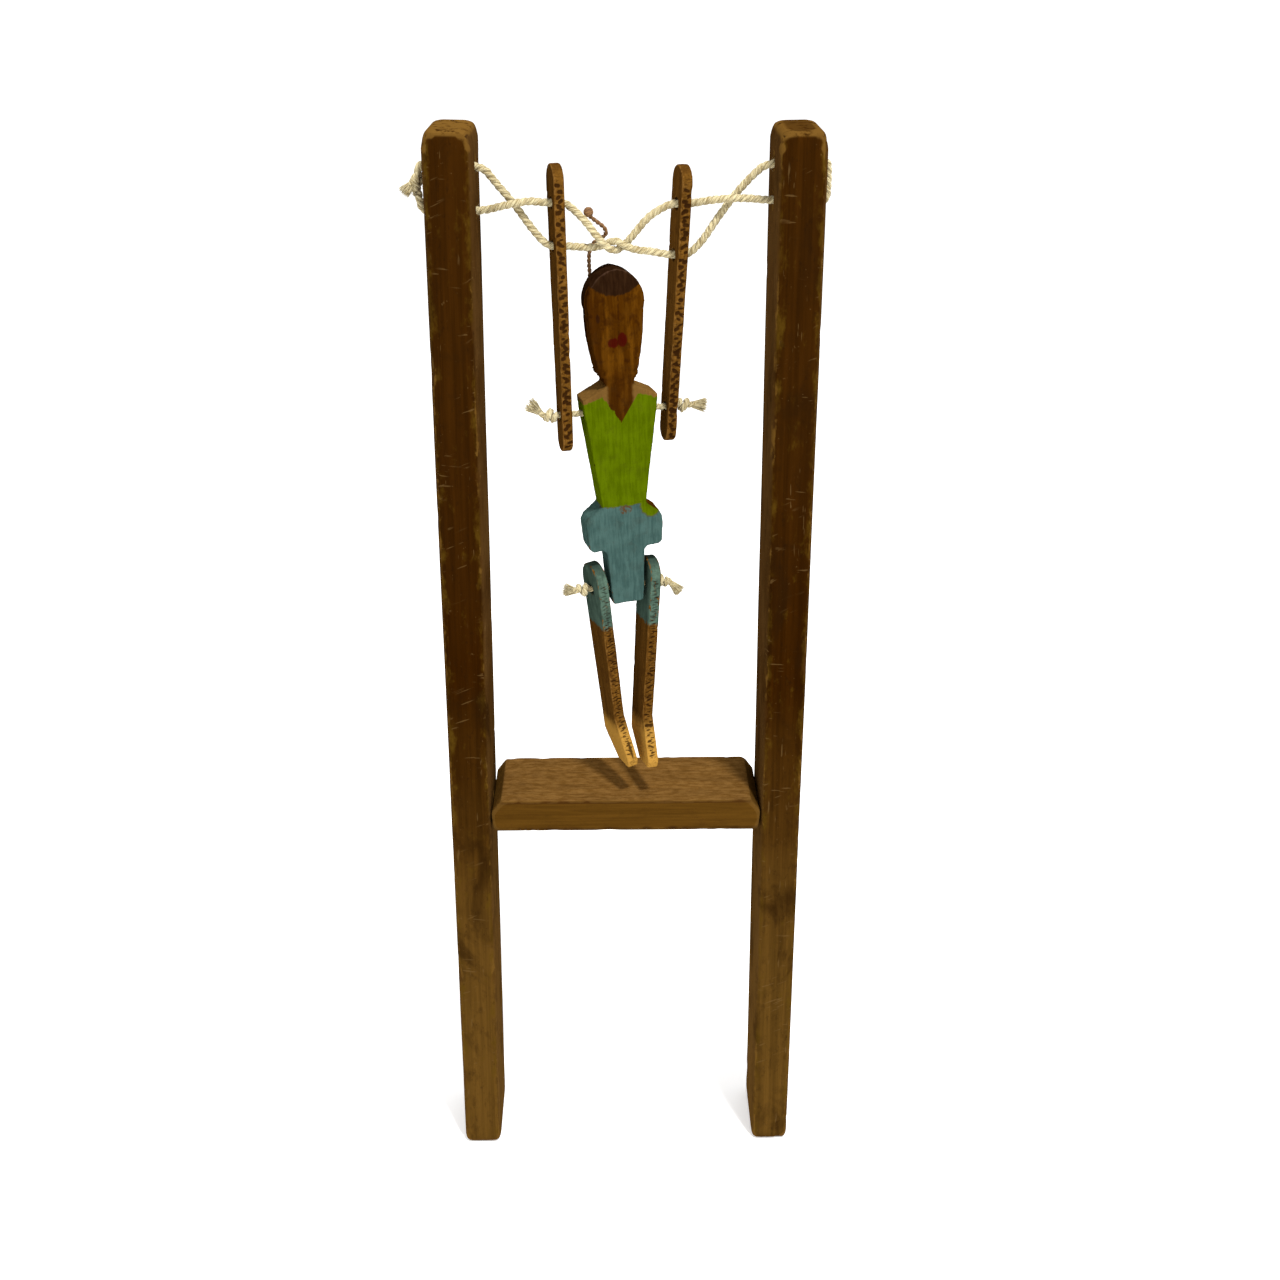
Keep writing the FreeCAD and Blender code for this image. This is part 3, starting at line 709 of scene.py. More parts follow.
def crossbarMaterial():
    material, tree, shader = startMaterial("bareCrossbar")
    own = stored(tree, "ownPlace", vector=True)
    edge = stored(tree, "edge")
    upward = remap(tree, stored(tree, "upward"), 0.55, 0.9)
    grain = place(tree, effects["grain"], Place=own, Across=1300.0, Along=60.0,
                  Light=(1.14, 1.12, 1.10, 1), Dark=(0.80, 0.77, 0.73, 1), Contrast=1.0)
    patches = remap(tree, noiseAt(tree, scaled(tree, own, (1, 1, 0.3)), 900.0, 6.0, 0.7), 0.38, 0.62)
    top = mixTone(tree, patches, tone(*crossbar["topTone"]), tone(*crossbar["topPale"]))
    side = mixTone(tree, stored(tree, "endward"), tone(*crossbar["frontTone"]),
                   tone(*crossbar["endTone"]))
    colour = mixTone(tree, upward, side, top)
    colour = mixTone(tree, 1.0, colour, grain["Color"], "MULTIPLY")
    stains = place(tree, effects["stains"], Place=scaled(tree, own, (1, 1, 0.7)), Scale=260.0,
                   Amount=0.5)
    colour = mixTone(tree, calc(tree, "MULTIPLY", stains["Mask"], 0.3), colour,
                     tone(*crossbar["stainTone"]))
    height = stored(tree, "heightUp")
    wander = calc(tree, "MULTIPLY_ADD", noiseAt(tree, own, 320.0, 4.0), 0.22, -0.11)
    lowLine = remap(tree, calc(tree, "ADD", height, wander), 0.04, 0.17, 0.75, 0.0)
    colour = mixTone(tree, lowLine, colour, tone(*crossbar["lowTone"]))
    uneven = calc(tree, "ADD", height, calc(tree, "MULTIPLY", wander, 0.2))
    band = calc(tree, "ABSOLUTE", calc(tree, "SUBTRACT", uneven, crossbar["seamHeight"]))
    seam = calc(tree, "MULTIPLY", remap(tree, band, 0.015, 0.045, 0.6, 0.0),
                calc(tree, "SUBTRACT", 1.0, stored(tree, "endward")))
    colour = mixTone(tree, seam, colour, tone(*crossbar["seamTone"]))
    specks = calc(tree, "MULTIPLY", stains["Speckle"], 0.8)
    colour = mixTone(tree, specks, colour, tone(*crossbar["speckTone"]))
    rubbed = place(tree, effects["edges"], Place=own, Edge=edge, Scale=320.0, Amount=0.42)["Mask"]
    colour = mixTone(tree, calc(tree, "MULTIPLY", rubbed, 0.20), colour,
                     tone(*crossbar["wornTone"]))
    colour = mixTone(tree, calc(tree, "MULTIPLY", stored(tree, "nick"), 0.6), colour,
                     tone(*crossbar["nickTone"]))
    feed(tree, shader.inputs["Base Color"], colour)
    feed(tree, shader.inputs["Roughness"],
         remap(tree, noiseAt(tree, own, 200.0, 3.0), 0.3, 0.7, 0.55, 0.8))
    shader.inputs["Specular IOR Level"].default_value = 0.0
    feed(tree, shader.inputs["Normal"], raised(tree, grain["Height"], 0.5, 0.00018))
    return material


nails = {
    "headRadius": 2.2 * mm, "shankRadius": 0.8 * mm, "length": 9.0 * mm, "steps": 40,
    "seatBehindTip": 0.7 * mm, "rimHeight": 0.16 * mm, "crownHeight": 0.5 * mm, "dents": 0.05 * mm,
    "steelTone": (92, 84, 76), "rustTone": (70, 38, 20),
}


def lathe(profile, origin, axis, steps, verts, faces):
    # turns a profile of (along, radius) points about the axis and caps both ends
    side = axis.orthogonal().normalized()
    other = axis.cross(side)
    first = len(verts)
    for along, radius in profile:
        for k in range(steps):
            angle = 2 * math.pi * k / steps
            verts.append(origin + axis * along
                         + (side * math.cos(angle) + other * math.sin(angle)) * radius)
    for ring in range(len(profile) - 1):
        for k in range(steps):
            a = first + ring * steps + k
            b = first + ring * steps + (k + 1) % steps
            faces.append((a, b, b + steps, a + steps))
    faces.append(tuple(first + k for k in reversed(range(steps))))
    faces.append(tuple(first + (len(profile) - 1) * steps + k for k in range(steps)))


def makeNails():
    print("pivot nails")
    low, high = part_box("bar_nails")
    verts, faces = [], []
    for sign in (-1, 1):
        tip = high.x if sign > 0 else -low.x
        seat = tip - nails["seatBehindTip"]
        profile = [(seat - nails["length"], nails["shankRadius"]), (seat, nails["shankRadius"]),
                   (seat, nails["headRadius"] * 0.96), (seat + nails["rimHeight"], nails["headRadius"])]
        for k in range(1, 8):
            angle = k / 8 * math.pi / 2
            profile.append((seat + nails["rimHeight"] + nails["crownHeight"] * math.sin(angle),
                            nails["headRadius"] * math.cos(angle) ** 0.7))
        lathe(profile, Vector((0, 0, toy["barNose"] * mm)), Vector((sign, 0, 0)), nails["steps"], verts,
              faces)
    mesh = bpy.data.meshes.new("pivotNails")
    mesh.from_pydata(verts, [], faces)
    mesh.update()
    points = readPoints(mesh)
    dents = roughness(points, (900, 900, 900), 41.0, 3)
    dented = points + readNormals(mesh) * (dents * nails["dents"])[:, None]
    mesh.vertices.foreach_set("co", dented.ravel())
    material, tree, shader = startMaterial("rustySteel")
    where = textureSpace(tree)
    rust = remap(tree, noiseAt(tree, where, 900.0, 5.0, 0.65), 0.42, 0.58)
    feed(tree, shader.inputs["Base Color"],
         mixTone(tree, rust, tone(*nails["steelTone"]), tone(*nails["rustTone"])))
    feed(tree, shader.inputs["Metallic"], remap(tree, rust, 0.0, 1.0, 0.85, 0.1))
    feed(tree, shader.inputs["Roughness"], remap(tree, rust, 0.0, 1.0, 0.42, 0.85))
    feed(tree, shader.inputs["Normal"], raised(tree, noiseAt(tree, where, 2400.0, 4.0), 0.4, 0.0001))
    obj = addObject("pivotNails", mesh, material)
    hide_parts("bar_nails")
    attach(obj, "frame")


limbs = {
    "voxel": 0.22 * mm, "soften": 3,
    "armPits": {"topZ": 8.6 * mm, "lowZ": -52.5 * mm, "step": 1.05 * mm, "halfWidth": 0.95 * mm,
                "size": 0.44 * mm, "slant": 0.7},
    "legPits": {"topZ": 2.0 * mm, "lowZ": -47.0 * mm, "step": 0.62 * mm, "halfWidth": 0.90 * mm,
                "size": 0.17 * mm, "slant": 0.3},
    "cuts": {                     # centre, size in mm and depth of single cuts
        "rightLeg": (((0, -2, -39.6), (4, 6, 0.42), 1.0),),
        "leftLeg": (((0.3, -4, -46.0), (0.40, 8, 3.0), 1.0), ((0, -2, -38.8), (4, 4, 0.22), 0.5)),
    },
    "sideTone": (80, 52, 17), "edgeTone": (98, 66, 22), "pitTone": (30, 11, 4),
    "paleTone": (124, 88, 40),
    # the foot's colour is painted light: paler, as the foot's top faces up to the lamp
    "rimTone": (74, 44, 12), "litFootTone": (190, 142, 62), "stainTone": (52, 28, 8),
    "paintEnd": (-10.5 * mm, -9.6 * mm), "footStart": (-37.5 * mm, -42.5 * mm),    # below the hip cord
    # painted shade: heights over the hip cord where the leg's top end is painted darker
    "shadedTop": (4.5 * mm, 7.0 * mm),
    "pitDepth": 0.30 * mm, "cutDepth": 0.25 * mm, "nickDepth": 0.14 * mm, "edgeReach": 0.16 * mm,
    # the last colour is the leg paint painted darker, as shade on the broad side faces
    "legPaint": (80, 102, 88), "legDeep": (54, 72, 62), "paintInShade": (40, 52, 46),
}


def addPits(own, rng, front, topZ, lowZ, step, halfWidth, size, slant):
    # a wandering row of small torn hollows down the narrow front edge
    pits = np.zeros(len(own))
    z, swing = topZ, 1
    while z > lowZ:
        swing = -swing
        for _ in range(rng.choice((1, 2, 2))):
            middle = np.array([(swing * 0.35 + rng.uniform(-0.3, 0.3)) * halfWidth,
                               z + rng.uniform(-0.3, 0.3) * step])
            tilt = rng.uniform(-slant, slant)
            wide, tall = rng.uniform(0.55, 1.0) * halfWidth, rng.uniform(0.55, 1.2) * size
            dx, dz = own[:, 0] - middle[0], own[:, 2] - middle[1]
            u = (dx * math.cos(tilt) + dz * math.sin(tilt)) / wide
            v = (-dx * math.sin(tilt) + dz * math.cos(tilt)) / tall
            pits = np.maximum(pits, np.exp(-(u * u) ** 1.5 - v * v) * rng.uniform(0.55, 1.0))
        z -= step * rng.uniform(0.65, 1.35)
    return pits * front


def limb(name, node, body, origin, zDir, seed, pitting, turned, painted):
    print("limb", name)
    rng = random.Random(seed)
    obj = fineCopy(node, name, limbs["voxel"], limbs["soften"])
    points, normals, edges = readPoints(obj.data), readNormals(obj.data), readEdges(obj.data)
    origin, axes = ownFrame(origin, Matrix.Rotation(math.radians(turned), 3, "Z") @ across, zDir)
    own = inFrame(points, origin, axes)
    ownNormals = normals @ axes.T
    front = smoothStep(-ownNormals[:, 1], 0.55, 0.9)
    back = smoothStep(ownNormals[:, 1], 0.55, 0.9)
    pits = np.maximum(addPits(own, rng, front, **pitting), addPits(own, rng, back, **pitting))
    cuts = np.zeros(len(points))
    for centre, size, depth in limbs["cuts"].get(name, ()):
        reach = (((own - np.array(centre) * mm) / (np.array(size) * mm)) ** 2).sum(axis=1)
        cut = np.exp(-reach) * front * depth
        pits = np.maximum(pits, cut)
        cuts = np.maximum(cuts, cut)
    push = 0.05 * mm * roughness(own, (240, 90, 40), seed, 2)
    push += 0.045 * mm * roughness(own, (1600, 700, 160), seed + 5, 3) * (1 - np.maximum(front, back))
    push += 0.07 * mm * roughness(own, (1500, 1500, 900), seed + 9, 3) * np.maximum(front, back)
    push -= limbs["pitDepth"] * pits + limbs["cutDepth"] * cuts
    nicks = roughness(own, (500, 500, 260), seed + 13, 3)
    push -= limbs["nickDepth"] * smoothStep(nicks, 0.4, 0.8)
    carve(obj, push, normals)
    points, normals = readPoints(obj.data), readNormals(obj.data)
    own = inFrame(points, origin, axes)
    keep(obj.data, "ownPlace", own, vector=True)
    keep(obj.data, "edge", edgeMeasure(points, edges, normals, 7, limbs["edgeReach"]))
    keep(obj.data, "pit", pits)
    keep(obj.data, "seed", np.full(len(points), seed * 0.13))
    keep(obj.data, "narrow", np.maximum(front, back))
    obj.data.materials.append(limbMaterial(painted))
    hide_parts(node)
    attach(obj, body)
    return obj


def limbMaterial(hasPaint):
    name = "paintedLeg" if hasPaint else "bareArm"
    if name in bpy.data.materials:
        return bpy.data.materials[name]
    material, tree, shader = startMaterial(name)
    own, spot = ownSpace(tree)
    edge, pit, narrow = stored(tree, "edge"), stored(tree, "pit"), stored(tree, "narrow")
    x, _, z = parts(tree, own)
    grain = place(tree, effects["grain"], Place=spot, Across=1500.0, Along=90.0,
                  Light=(1.20, 1.18, 1.14, 1), Dark=(0.72, 0.70, 0.66, 1), Contrast=1.1)
    base = mixTone(tree, narrow, tone(*limbs["sideTone"]), tone(*limbs["edgeTone"]))
    middle = remap(tree, calc(tree, "ABSOLUTE", x), 0.0006, 0.0012, 0.0, 0.55)
    base = mixTone(tree, calc(tree, "MULTIPLY", middle, narrow), base, tone(*limbs["rimTone"]))
    colour = mixTone(tree, 1.0, base, grain["Color"], "MULTIPLY")
    stains = place(tree, effects["stains"], Place=spot, Scale=240.0, Amount=0.55)
    colour = mixTone(tree, stains["Mask"], colour, tone(*limbs["stainTone"]))
    rubbed = place(tree, effects["edges"], Place=spot, Edge=edge, Scale=420.0, Amount=0.52)["Mask"]
    colour = mixTone(tree, calc(tree, "MULTIPLY", rubbed, 0.6), colour, tone(*limbs["paleTone"]))
    tornNoise = noiseAt(tree, scaled(tree, spot, (1.0, 1.0, 1.6)), 1900.0, 3.0, 0.6)
    torn = calc(tree, "MULTIPLY", remap(tree, tornNoise, 0.54, 0.64),
                calc(tree, "MULTIPLY", narrow, 0.6))
    dark = calc(tree, "MAXIMUM", remap(tree, pit, 0.22, 0.50), torn)
    ticks = noiseAt(tree, scaled(tree, spot, (330.0, 330.0, 1500.0)), 1.0, 3.0, 0.6)
    dark = calc(tree, "MAXIMUM", dark,
                calc(tree, "MULTIPLY", remap(tree, ticks, 0.56, 0.66),
                     calc(tree, "MULTIPLY", narrow, 0.5)))
    light = calc(tree, "MULTIPLY", remap(tree, ticks, 0.42, 0.34), calc(tree, "MULTIPLY", narrow, 0.45))
    colour = mixTone(tree, light, colour, tone(*limbs["paleTone"]))
    height = grain["Height"]
    if hasPaint:
        line = calc(tree, "ADD", z,
                    calc(tree, "MULTIPLY_ADD", noiseAt(tree, spot, 700.0, 4.0, 0.6), 0.0030, -0.0015))
        paint = place(tree, effects["paint"], Place=spot, Paint=tone(*limbs["legPaint"]),
                      Deep=tone(*limbs["legDeep"]),
                      Edge=edge, Pit=pit, Wear=0.40)
        cover = calc(tree, "MULTIPLY", remap(tree, line, *limbs["paintEnd"]), paint["Cover"])
        # painted light: the foot is painted paler from footStart down, as its top faces up to the light
        litFootMask = remap(tree, line, *limbs["footStart"])
        colour = mixTone(tree, calc(tree, "MULTIPLY", litFootMask, 0.65), colour, tone(*limbs["litFootTone"]))
        # painted shade: the leg paint goes darker on the broad side faces, which are turned from the light,
        # and at the leg's top end
        flat = calc(tree, "MULTIPLY", calc(tree, "SUBTRACT", 1.0, narrow), 0.45)
        sideShade = calc(tree, "MAXIMUM", flat, remap(tree, z, *limbs["shadedTop"], 0.0, 0.75))
        painted = mixTone(tree, sideShade, paint["Color"], tone(*limbs["paintInShade"]))
        colour = mixTone(tree, cover, colour, painted)
        dark = calc(tree, "MULTIPLY", dark, calc(tree, "MULTIPLY_ADD", cover, -0.45, 1.0))
        height = calc(tree, "ADD", height, calc(tree, "MULTIPLY", cover, 0.5))
    colour = mixTone(tree, calc(tree, "MULTIPLY", dark, 0.85), colour, tone(*limbs["pitTone"]))
    feed(tree, shader.inputs["Base Color"], colour)
    feed(tree, shader.inputs["Roughness"],
         remap(tree, noiseAt(tree, spot, 500.0, 3.0), 0.3, 0.7, 0.60, 0.82))
    shader.inputs["Specular IOR Level"].default_value = 0.0
    feed(tree, shader.inputs["Normal"], raised(tree, height, 0.5, 0.00014))
    return material


def makeLimbs():
    shoulders = Vector(toy["shoulders"]) * mm
    for side, sign in (("left", -1), ("right", 1)):
        top = Vector((toy["armX"][side] * mm, 0, toy["swing"] * mm))
        hang = shoulders + across * (sign * toy["shoulderReach"] * mm)
        limb(side + "Arm", side + "_arm", "arms", top, top - hang, 50 + sign, limbs["armPits"], 0.0,
             False)
    hips = Vector(toy["hips"]) * mm
    for side, reach, lean, forward, turned in (("left", -7.5, 6.5, 0.0, 10.0),
                                               ("right", 6.6, -3.0, 2.0, 5.0)):
        sideways, ahead = math.tan(math.radians(lean)), math.tan(math.radians(forward))
        down = Vector((0, 0, -1)) + across * sideways + facing * ahead
        limb(side + "Leg", side + "_leg", "leg_" + side, hips + across * (reach * mm), -down,
             60 + len(side),
             limbs["legPits"], turned, True)


figure = {
    "voxel": 0.25 * mm, "soften": 3,
    # heights in metres over the shoulder cord: seam of vest and shorts, tip of the neck's V, hair line
    "waist": -0.0238, "neckTip": -0.0021, "neckFlare": 1.55, "hairLine": 0.0287,
    "leftLip": ((-0.0012, 0.0176), (0.0013, 0.0011)), "rightLip": ((0.0010, 0.0182), (0.0012, 0.0017)),
    "hairTone": (32, 17, 7), "hairLight": (42, 25, 12), "skinTone": (62, 33, 2),
    "skinLight": (84, 50, 6),
    "skinDark": (38, 15, 3), "lipTone": (56, 6, 4), "vest": (78, 95, 2), "vestDeep": (65, 80, 0),
    "shorts": (65, 90, 85), "shortsDeep": (50, 73, 69), "bareTone": (104, 76, 36),
    "markTone": (36, 16, 8), "rimTone": (74, 54, 42), "chipTone": (84, 56, 28),
    "grimeTone": (48, 34, 16), "speckTone": (40, 24, 10),
}


def makeFigure():
    print("figure")
    obj = fineCopy("acrobat_body", "acrobatFigure", figure["voxel"], figure["soften"])
    points, normals, edges = readPoints(obj.data), readNormals(obj.data), readEdges(obj.data)
    up = Vector((math.tan(math.radians(toy["lean"])), 0, 1))
    origin, axes = ownFrame(Vector(toy["shoulders"]) * mm, across, up)
    own = inFrame(points, origin, axes)
    ownNormals = normals @ axes.T
    head = smoothStep(own[:, 2], 0.0085, 0.0105)
    edgeFaces = smoothStep(np.abs(ownNormals[:, 0]), 0.4, 0.8)
    push = 0.07 * mm * roughness(own, (210, 210, 70), 71.0, 2)
    facets = roughness(own, (160, 160, 130), 75.0, 1)
    push += 0.10 * mm * np.abs(facets) * edgeFaces
    push += 0.05 * mm * roughness(own, (1400, 1400, 200), 79.0, 3)
    # the saw left torn bits under the jaw, and the neck was cut by hand
    for sign in (-1, 1):
        jaw = np.array([sign * 4.4 * mm, 0, 9.9 * mm])
        near = np.exp(-(((own - jaw) / np.array([1.5 * mm, 9 * mm, 1.3 * mm])) ** 2).sum(axis=1))
        push += 0.55 * mm * near * roughness(own, (1500, 700, 1500), 83.0 + sign, 3)
    neck = np.exp(-((own[:, 2] - 7.8 * mm) / (1.4 * mm)) ** 2)
    push += 0.22 * mm * neck * roughness(own, (900, 900, 1100), 87.0, 2)
    # whittled cuts across the cheeks and brow
    cuts = roughness(own, (220, 400, 420), 91.0, 2)
    push -= 0.09 * mm * head * smoothStep(cuts, 0.2, 0.6)
    # a thin groove where the vest meets the shorts
    groove = np.exp(-((own[:, 2] + 23.6 * mm) / (0.35 * mm)) ** 2) * smoothStep(-ownNormals[:, 1], 0.5,
            0.9)
    push -= 0.10 * mm * groove
    carve(obj, push, normals)
    points, normals = readPoints(obj.data), readNormals(obj.data)
    ownNormals = normals @ axes.T
    own = inFrame(points, origin, axes)
    keep(obj.data, "ownPlace", own, vector=True)
    keep(obj.data, "edge", edgeMeasure(points, edges, normals, 8, 0.24 * mm))
    keep(obj.data, "upward", np.clip(ownNormals[:, 2], 0, 1))
    keep(obj.data, "backward", smoothStep(ownNormals[:, 1], 0.2, 0.8))
    obj.data.materials.append(figureMaterial())
    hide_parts("acrobat_body")
    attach(obj, "torso")


def blob(tree, x, z, centre, size, softness):
    # 1 inside a soft ellipse on the board's face
    dx = calc(tree, "DIVIDE", calc(tree, "SUBTRACT", x, centre[0]), size[0])
    dz = calc(tree, "DIVIDE", calc(tree, "SUBTRACT", z, centre[1]), size[1])
    reach = calc(tree, "ADD", calc(tree, "MULTIPLY", dx, dx), calc(tree, "MULTIPLY", dz, dz))
    return remap(tree, reach, 1.0 - softness, 1.0 + softness, 1.0, 0.0)


def figureMaterial():
    material, tree, shader = startMaterial("whittledFigure")
    own = stored(tree, "ownPlace", vector=True)
    edge, upward, backward = stored(tree, "edge"), stored(tree, "upward"), stored(tree, "backward")
    jitter = noiseAt(tree, own, 900.0, 4.0, 0.6)
    wander = calc(tree, "MULTIPLY_ADD", jitter, 0.0014, -0.0007)
    x, y, z = parts(tree, own)
    x = calc(tree, "ADD", x, calc(tree, "MULTIPLY", wander, 0.6))
    z = calc(tree, "ADD", z, wander)
    side = calc(tree, "ABSOLUTE", x)
    grain = place(tree, effects["grain"], Place=own, Across=1300.0, Along=70.0,
                  Light=(1.16, 1.14, 1.10, 1), Dark=(0.78, 0.75, 0.72, 1), Contrast=1.0)
    # bare, handled wood of the face and neck
    glow = remap(tree, noiseAt(tree, scaled(tree, own, (1.6, 1.6, 0.35)), 330.0, 4.0, 0.6), 0.42, 0.66)
    skin = mixTone(tree, glow, tone(*figure["skinTone"]), tone(*figure["skinLight"]))
    shade = remap(tree, noiseAt(tree, own, 420.0, 4.0, 0.6), 0.50, 0.70)
    skin = mixTone(tree, calc(tree, "MULTIPLY", shade, 0.6), skin, tone(*figure["skinDark"]))
    chin = remap(tree, z, 0.0085, 0.0125, 0.35, 0.0)
    skin = mixTone(tree, chin, skin, tone(*figure["skinDark"]))
    ridge = calc(tree, "SUBTRACT", 1.0,
                 remap(tree, calc(tree, "ABSOLUTE", calc(tree, "ADD", x, -0.0003)), 0.00008, 0.00030))
    ridge = calc(tree, "MULTIPLY", calc(tree, "MULTIPLY", ridge, remap(tree, z, 0.0185, 0.0200)),
                 remap(tree, jitter, 0.40, 0.52))
    skin = mixTone(tree, calc(tree, "MULTIPLY", ridge, 0.6), skin, tone(*figure["skinDark"]))
    # the far cheek catches the light, the near one is painted in shade
    shadedCheek = remap(tree, x, -0.0062, -0.0022, 0.65, 0.0)
    skin = mixTone(tree, calc(tree, "MULTIPLY", shadedCheek, remap(tree, shade, 0.0, 1.0, 0.5, 1.0)), skin,
                   tone(*figure["skinDark"]))
    # lips and the small marks at the temple
    lips = calc(tree, "MAXIMUM", blob(tree, x, z, *figure["leftLip"], 0.35),
                blob(tree, x, z, *figure["rightLip"], 0.35))
    lips = calc(tree, "MULTIPLY", lips, calc(tree, "SUBTRACT", 1.0, backward))
    skin = mixTone(tree, calc(tree, "MULTIPLY", lips, 0.9), skin, tone(*figure["lipTone"]))
    marks = blob(tree, x, z, (-0.0046, 0.0236), (0.0005, 0.0011), 0.5)
    skin = mixTone(tree, calc(tree, "MULTIPLY", marks, 0.7), skin, tone(*figure["markTone"]))
    # hair: a cap, lower on the brow's middle and down the back
    sweep = calc(tree, "MULTIPLY", calc(tree, "MULTIPLY", side, side), 62.0)
    hairLine = calc(tree, "ADD", figure["hairLine"], sweep)
    hairLine = calc(tree, "SUBTRACT", hairLine,
                    calc(tree, "MULTIPLY", remap(tree, y, -0.0010, 0.0030), 0.0150))
    hair = remap(tree, calc(tree, "SUBTRACT", z, hairLine), -0.0002, 0.0003)
    hairTone = mixTone(tree,
                       remap(tree, noiseAt(tree, scaled(tree, own, (1200.0, 1200.0, 260.0)), 1.0, 4.0),
                             0.36, 0.68),
                       tone(*figure["hairTone"]), tone(*figure["hairLight"]))
    rim = calc(tree, "MULTIPLY", remap(tree, edge, 0.35, 0.8), 0.55)
    hairTone = mixTone(tree, rim, hairTone, tone(*figure["rimTone"]))
    colour = mixTone(tree, hair, skin, hairTone)
    colour = mixTone(tree, 1.0, colour, grain["Color"], "MULTIPLY")
    # pale worn wood over the collar
    bare = mixTone(tree, 1.0, tone(*figure["bareTone"]), grain["Color"], "MULTIPLY")
    collar = calc(tree, "MULTIPLY", remap(tree, z, 0.0078, 0.0066), remap(tree, z, 0.0015, 0.0030))
    collar = calc(tree, "MULTIPLY", collar, remap(tree, side, 0.0026, 0.0036))
    colour = mixTone(tree, collar, colour, bare)
    # vest with its pointed neck
    shoulderLine = calc(tree, "MULTIPLY_ADD", side, -0.30, 0.0071)
    vest = calc(tree, "MULTIPLY", remap(tree, calc(tree, "SUBTRACT", shoulderLine, z), 0.0008, 0.0012),
                remap(tree, upward, 0.75, 0.45))
    point = calc(tree, "SUBTRACT", z,
                 calc(tree, "MULTIPLY_ADD", side, figure["neckFlare"], figure["neckTip"]))
    neck = remap(tree, point, -0.0002, 0.0003)
    vest = calc(tree, "MULTIPLY", vest, calc(tree, "SUBTRACT", 1.0, calc(tree, "MULTIPLY", neck,
                calc(tree, "SUBTRACT", 1.0, backward))))
    spill = blob(tree, x, z, (0.0072, -0.0245), (0.0032, 0.0030), 0.25)
    aboveWaist = remap(tree, calc(tree, "SUBTRACT", z, figure["waist"]), -0.0002, 0.0002)
    aboveWaist = calc(tree, "MAXIMUM", aboveWaist, spill)
    paintVest = place(tree, effects["paint"], Place=own, Paint=tone(*figure["vest"]),
                      Deep=tone(*figure["vestDeep"]),
                      Edge=edge, Pit=0.0, Wear=0.32)
    vestCover = calc(tree, "MULTIPLY", calc(tree, "MULTIPLY", vest, aboveWaist), paintVest["Cover"])
    colour = mixTone(tree, vestCover, colour, paintVest["Color"])
    # shorts, with a chip of bare wood at the middle of their top edge
    paintShorts = place(tree, effects["paint"], Place=shifted(tree, own, (0.05, 0.02, 0.03)),
                        Paint=tone(*figure["shorts"]),
                        Deep=tone(*figure["shortsDeep"]), Edge=edge, Pit=0.0, Wear=0.34)
    below = calc(tree, "SUBTRACT", 1.0, aboveWaist)
    chip = blob(tree, x, z, (0.0002, -0.0248), (0.0016, 0.0012), 0.4)
    chip = calc(tree, "MULTIPLY", chip, remap(tree, jitter, 0.35, 0.6))
    shortsCover = calc(tree, "MULTIPLY", calc(tree, "MULTIPLY", below, paintShorts["Cover"]),
                       calc(tree, "SUBTRACT", 1.0, chip))
    colour = mixTone(tree, below, colour,
                     mixTone(tree, 1.0, tone(*figure["chipTone"]), grain["Color"], "MULTIPLY"))
    colour = mixTone(tree, shortsCover, colour, paintShorts["Color"])
    grime = place(tree, effects["stains"], Place=own, Scale=300.0, Amount=0.35)
    colour = mixTone(tree, calc(tree, "MULTIPLY", grime["Mask"], 0.5), colour,
                     tone(*figure["grimeTone"]))
    colour = mixTone(tree, calc(tree, "MULTIPLY", grime["Speckle"], 0.8), colour,
                     tone(*figure["speckTone"]))
    feed(tree, shader.inputs["Base Color"], colour)
    painted = calc(tree, "MAXIMUM", vestCover, shortsCover)
    feed(tree, shader.inputs["Roughness"], remap(tree, painted, 0.0, 1.0, 0.62, 0.56))
    shader.inputs["Specular IOR Level"].default_value = 0.0
    bumps = raised(tree, grain["Height"], 0.40, 0.00014)
    bumps = raised(tree, painted, 0.5, 0.00008, bumps)
    feed(tree, shader.inputs["Normal"], bumps)
    return material


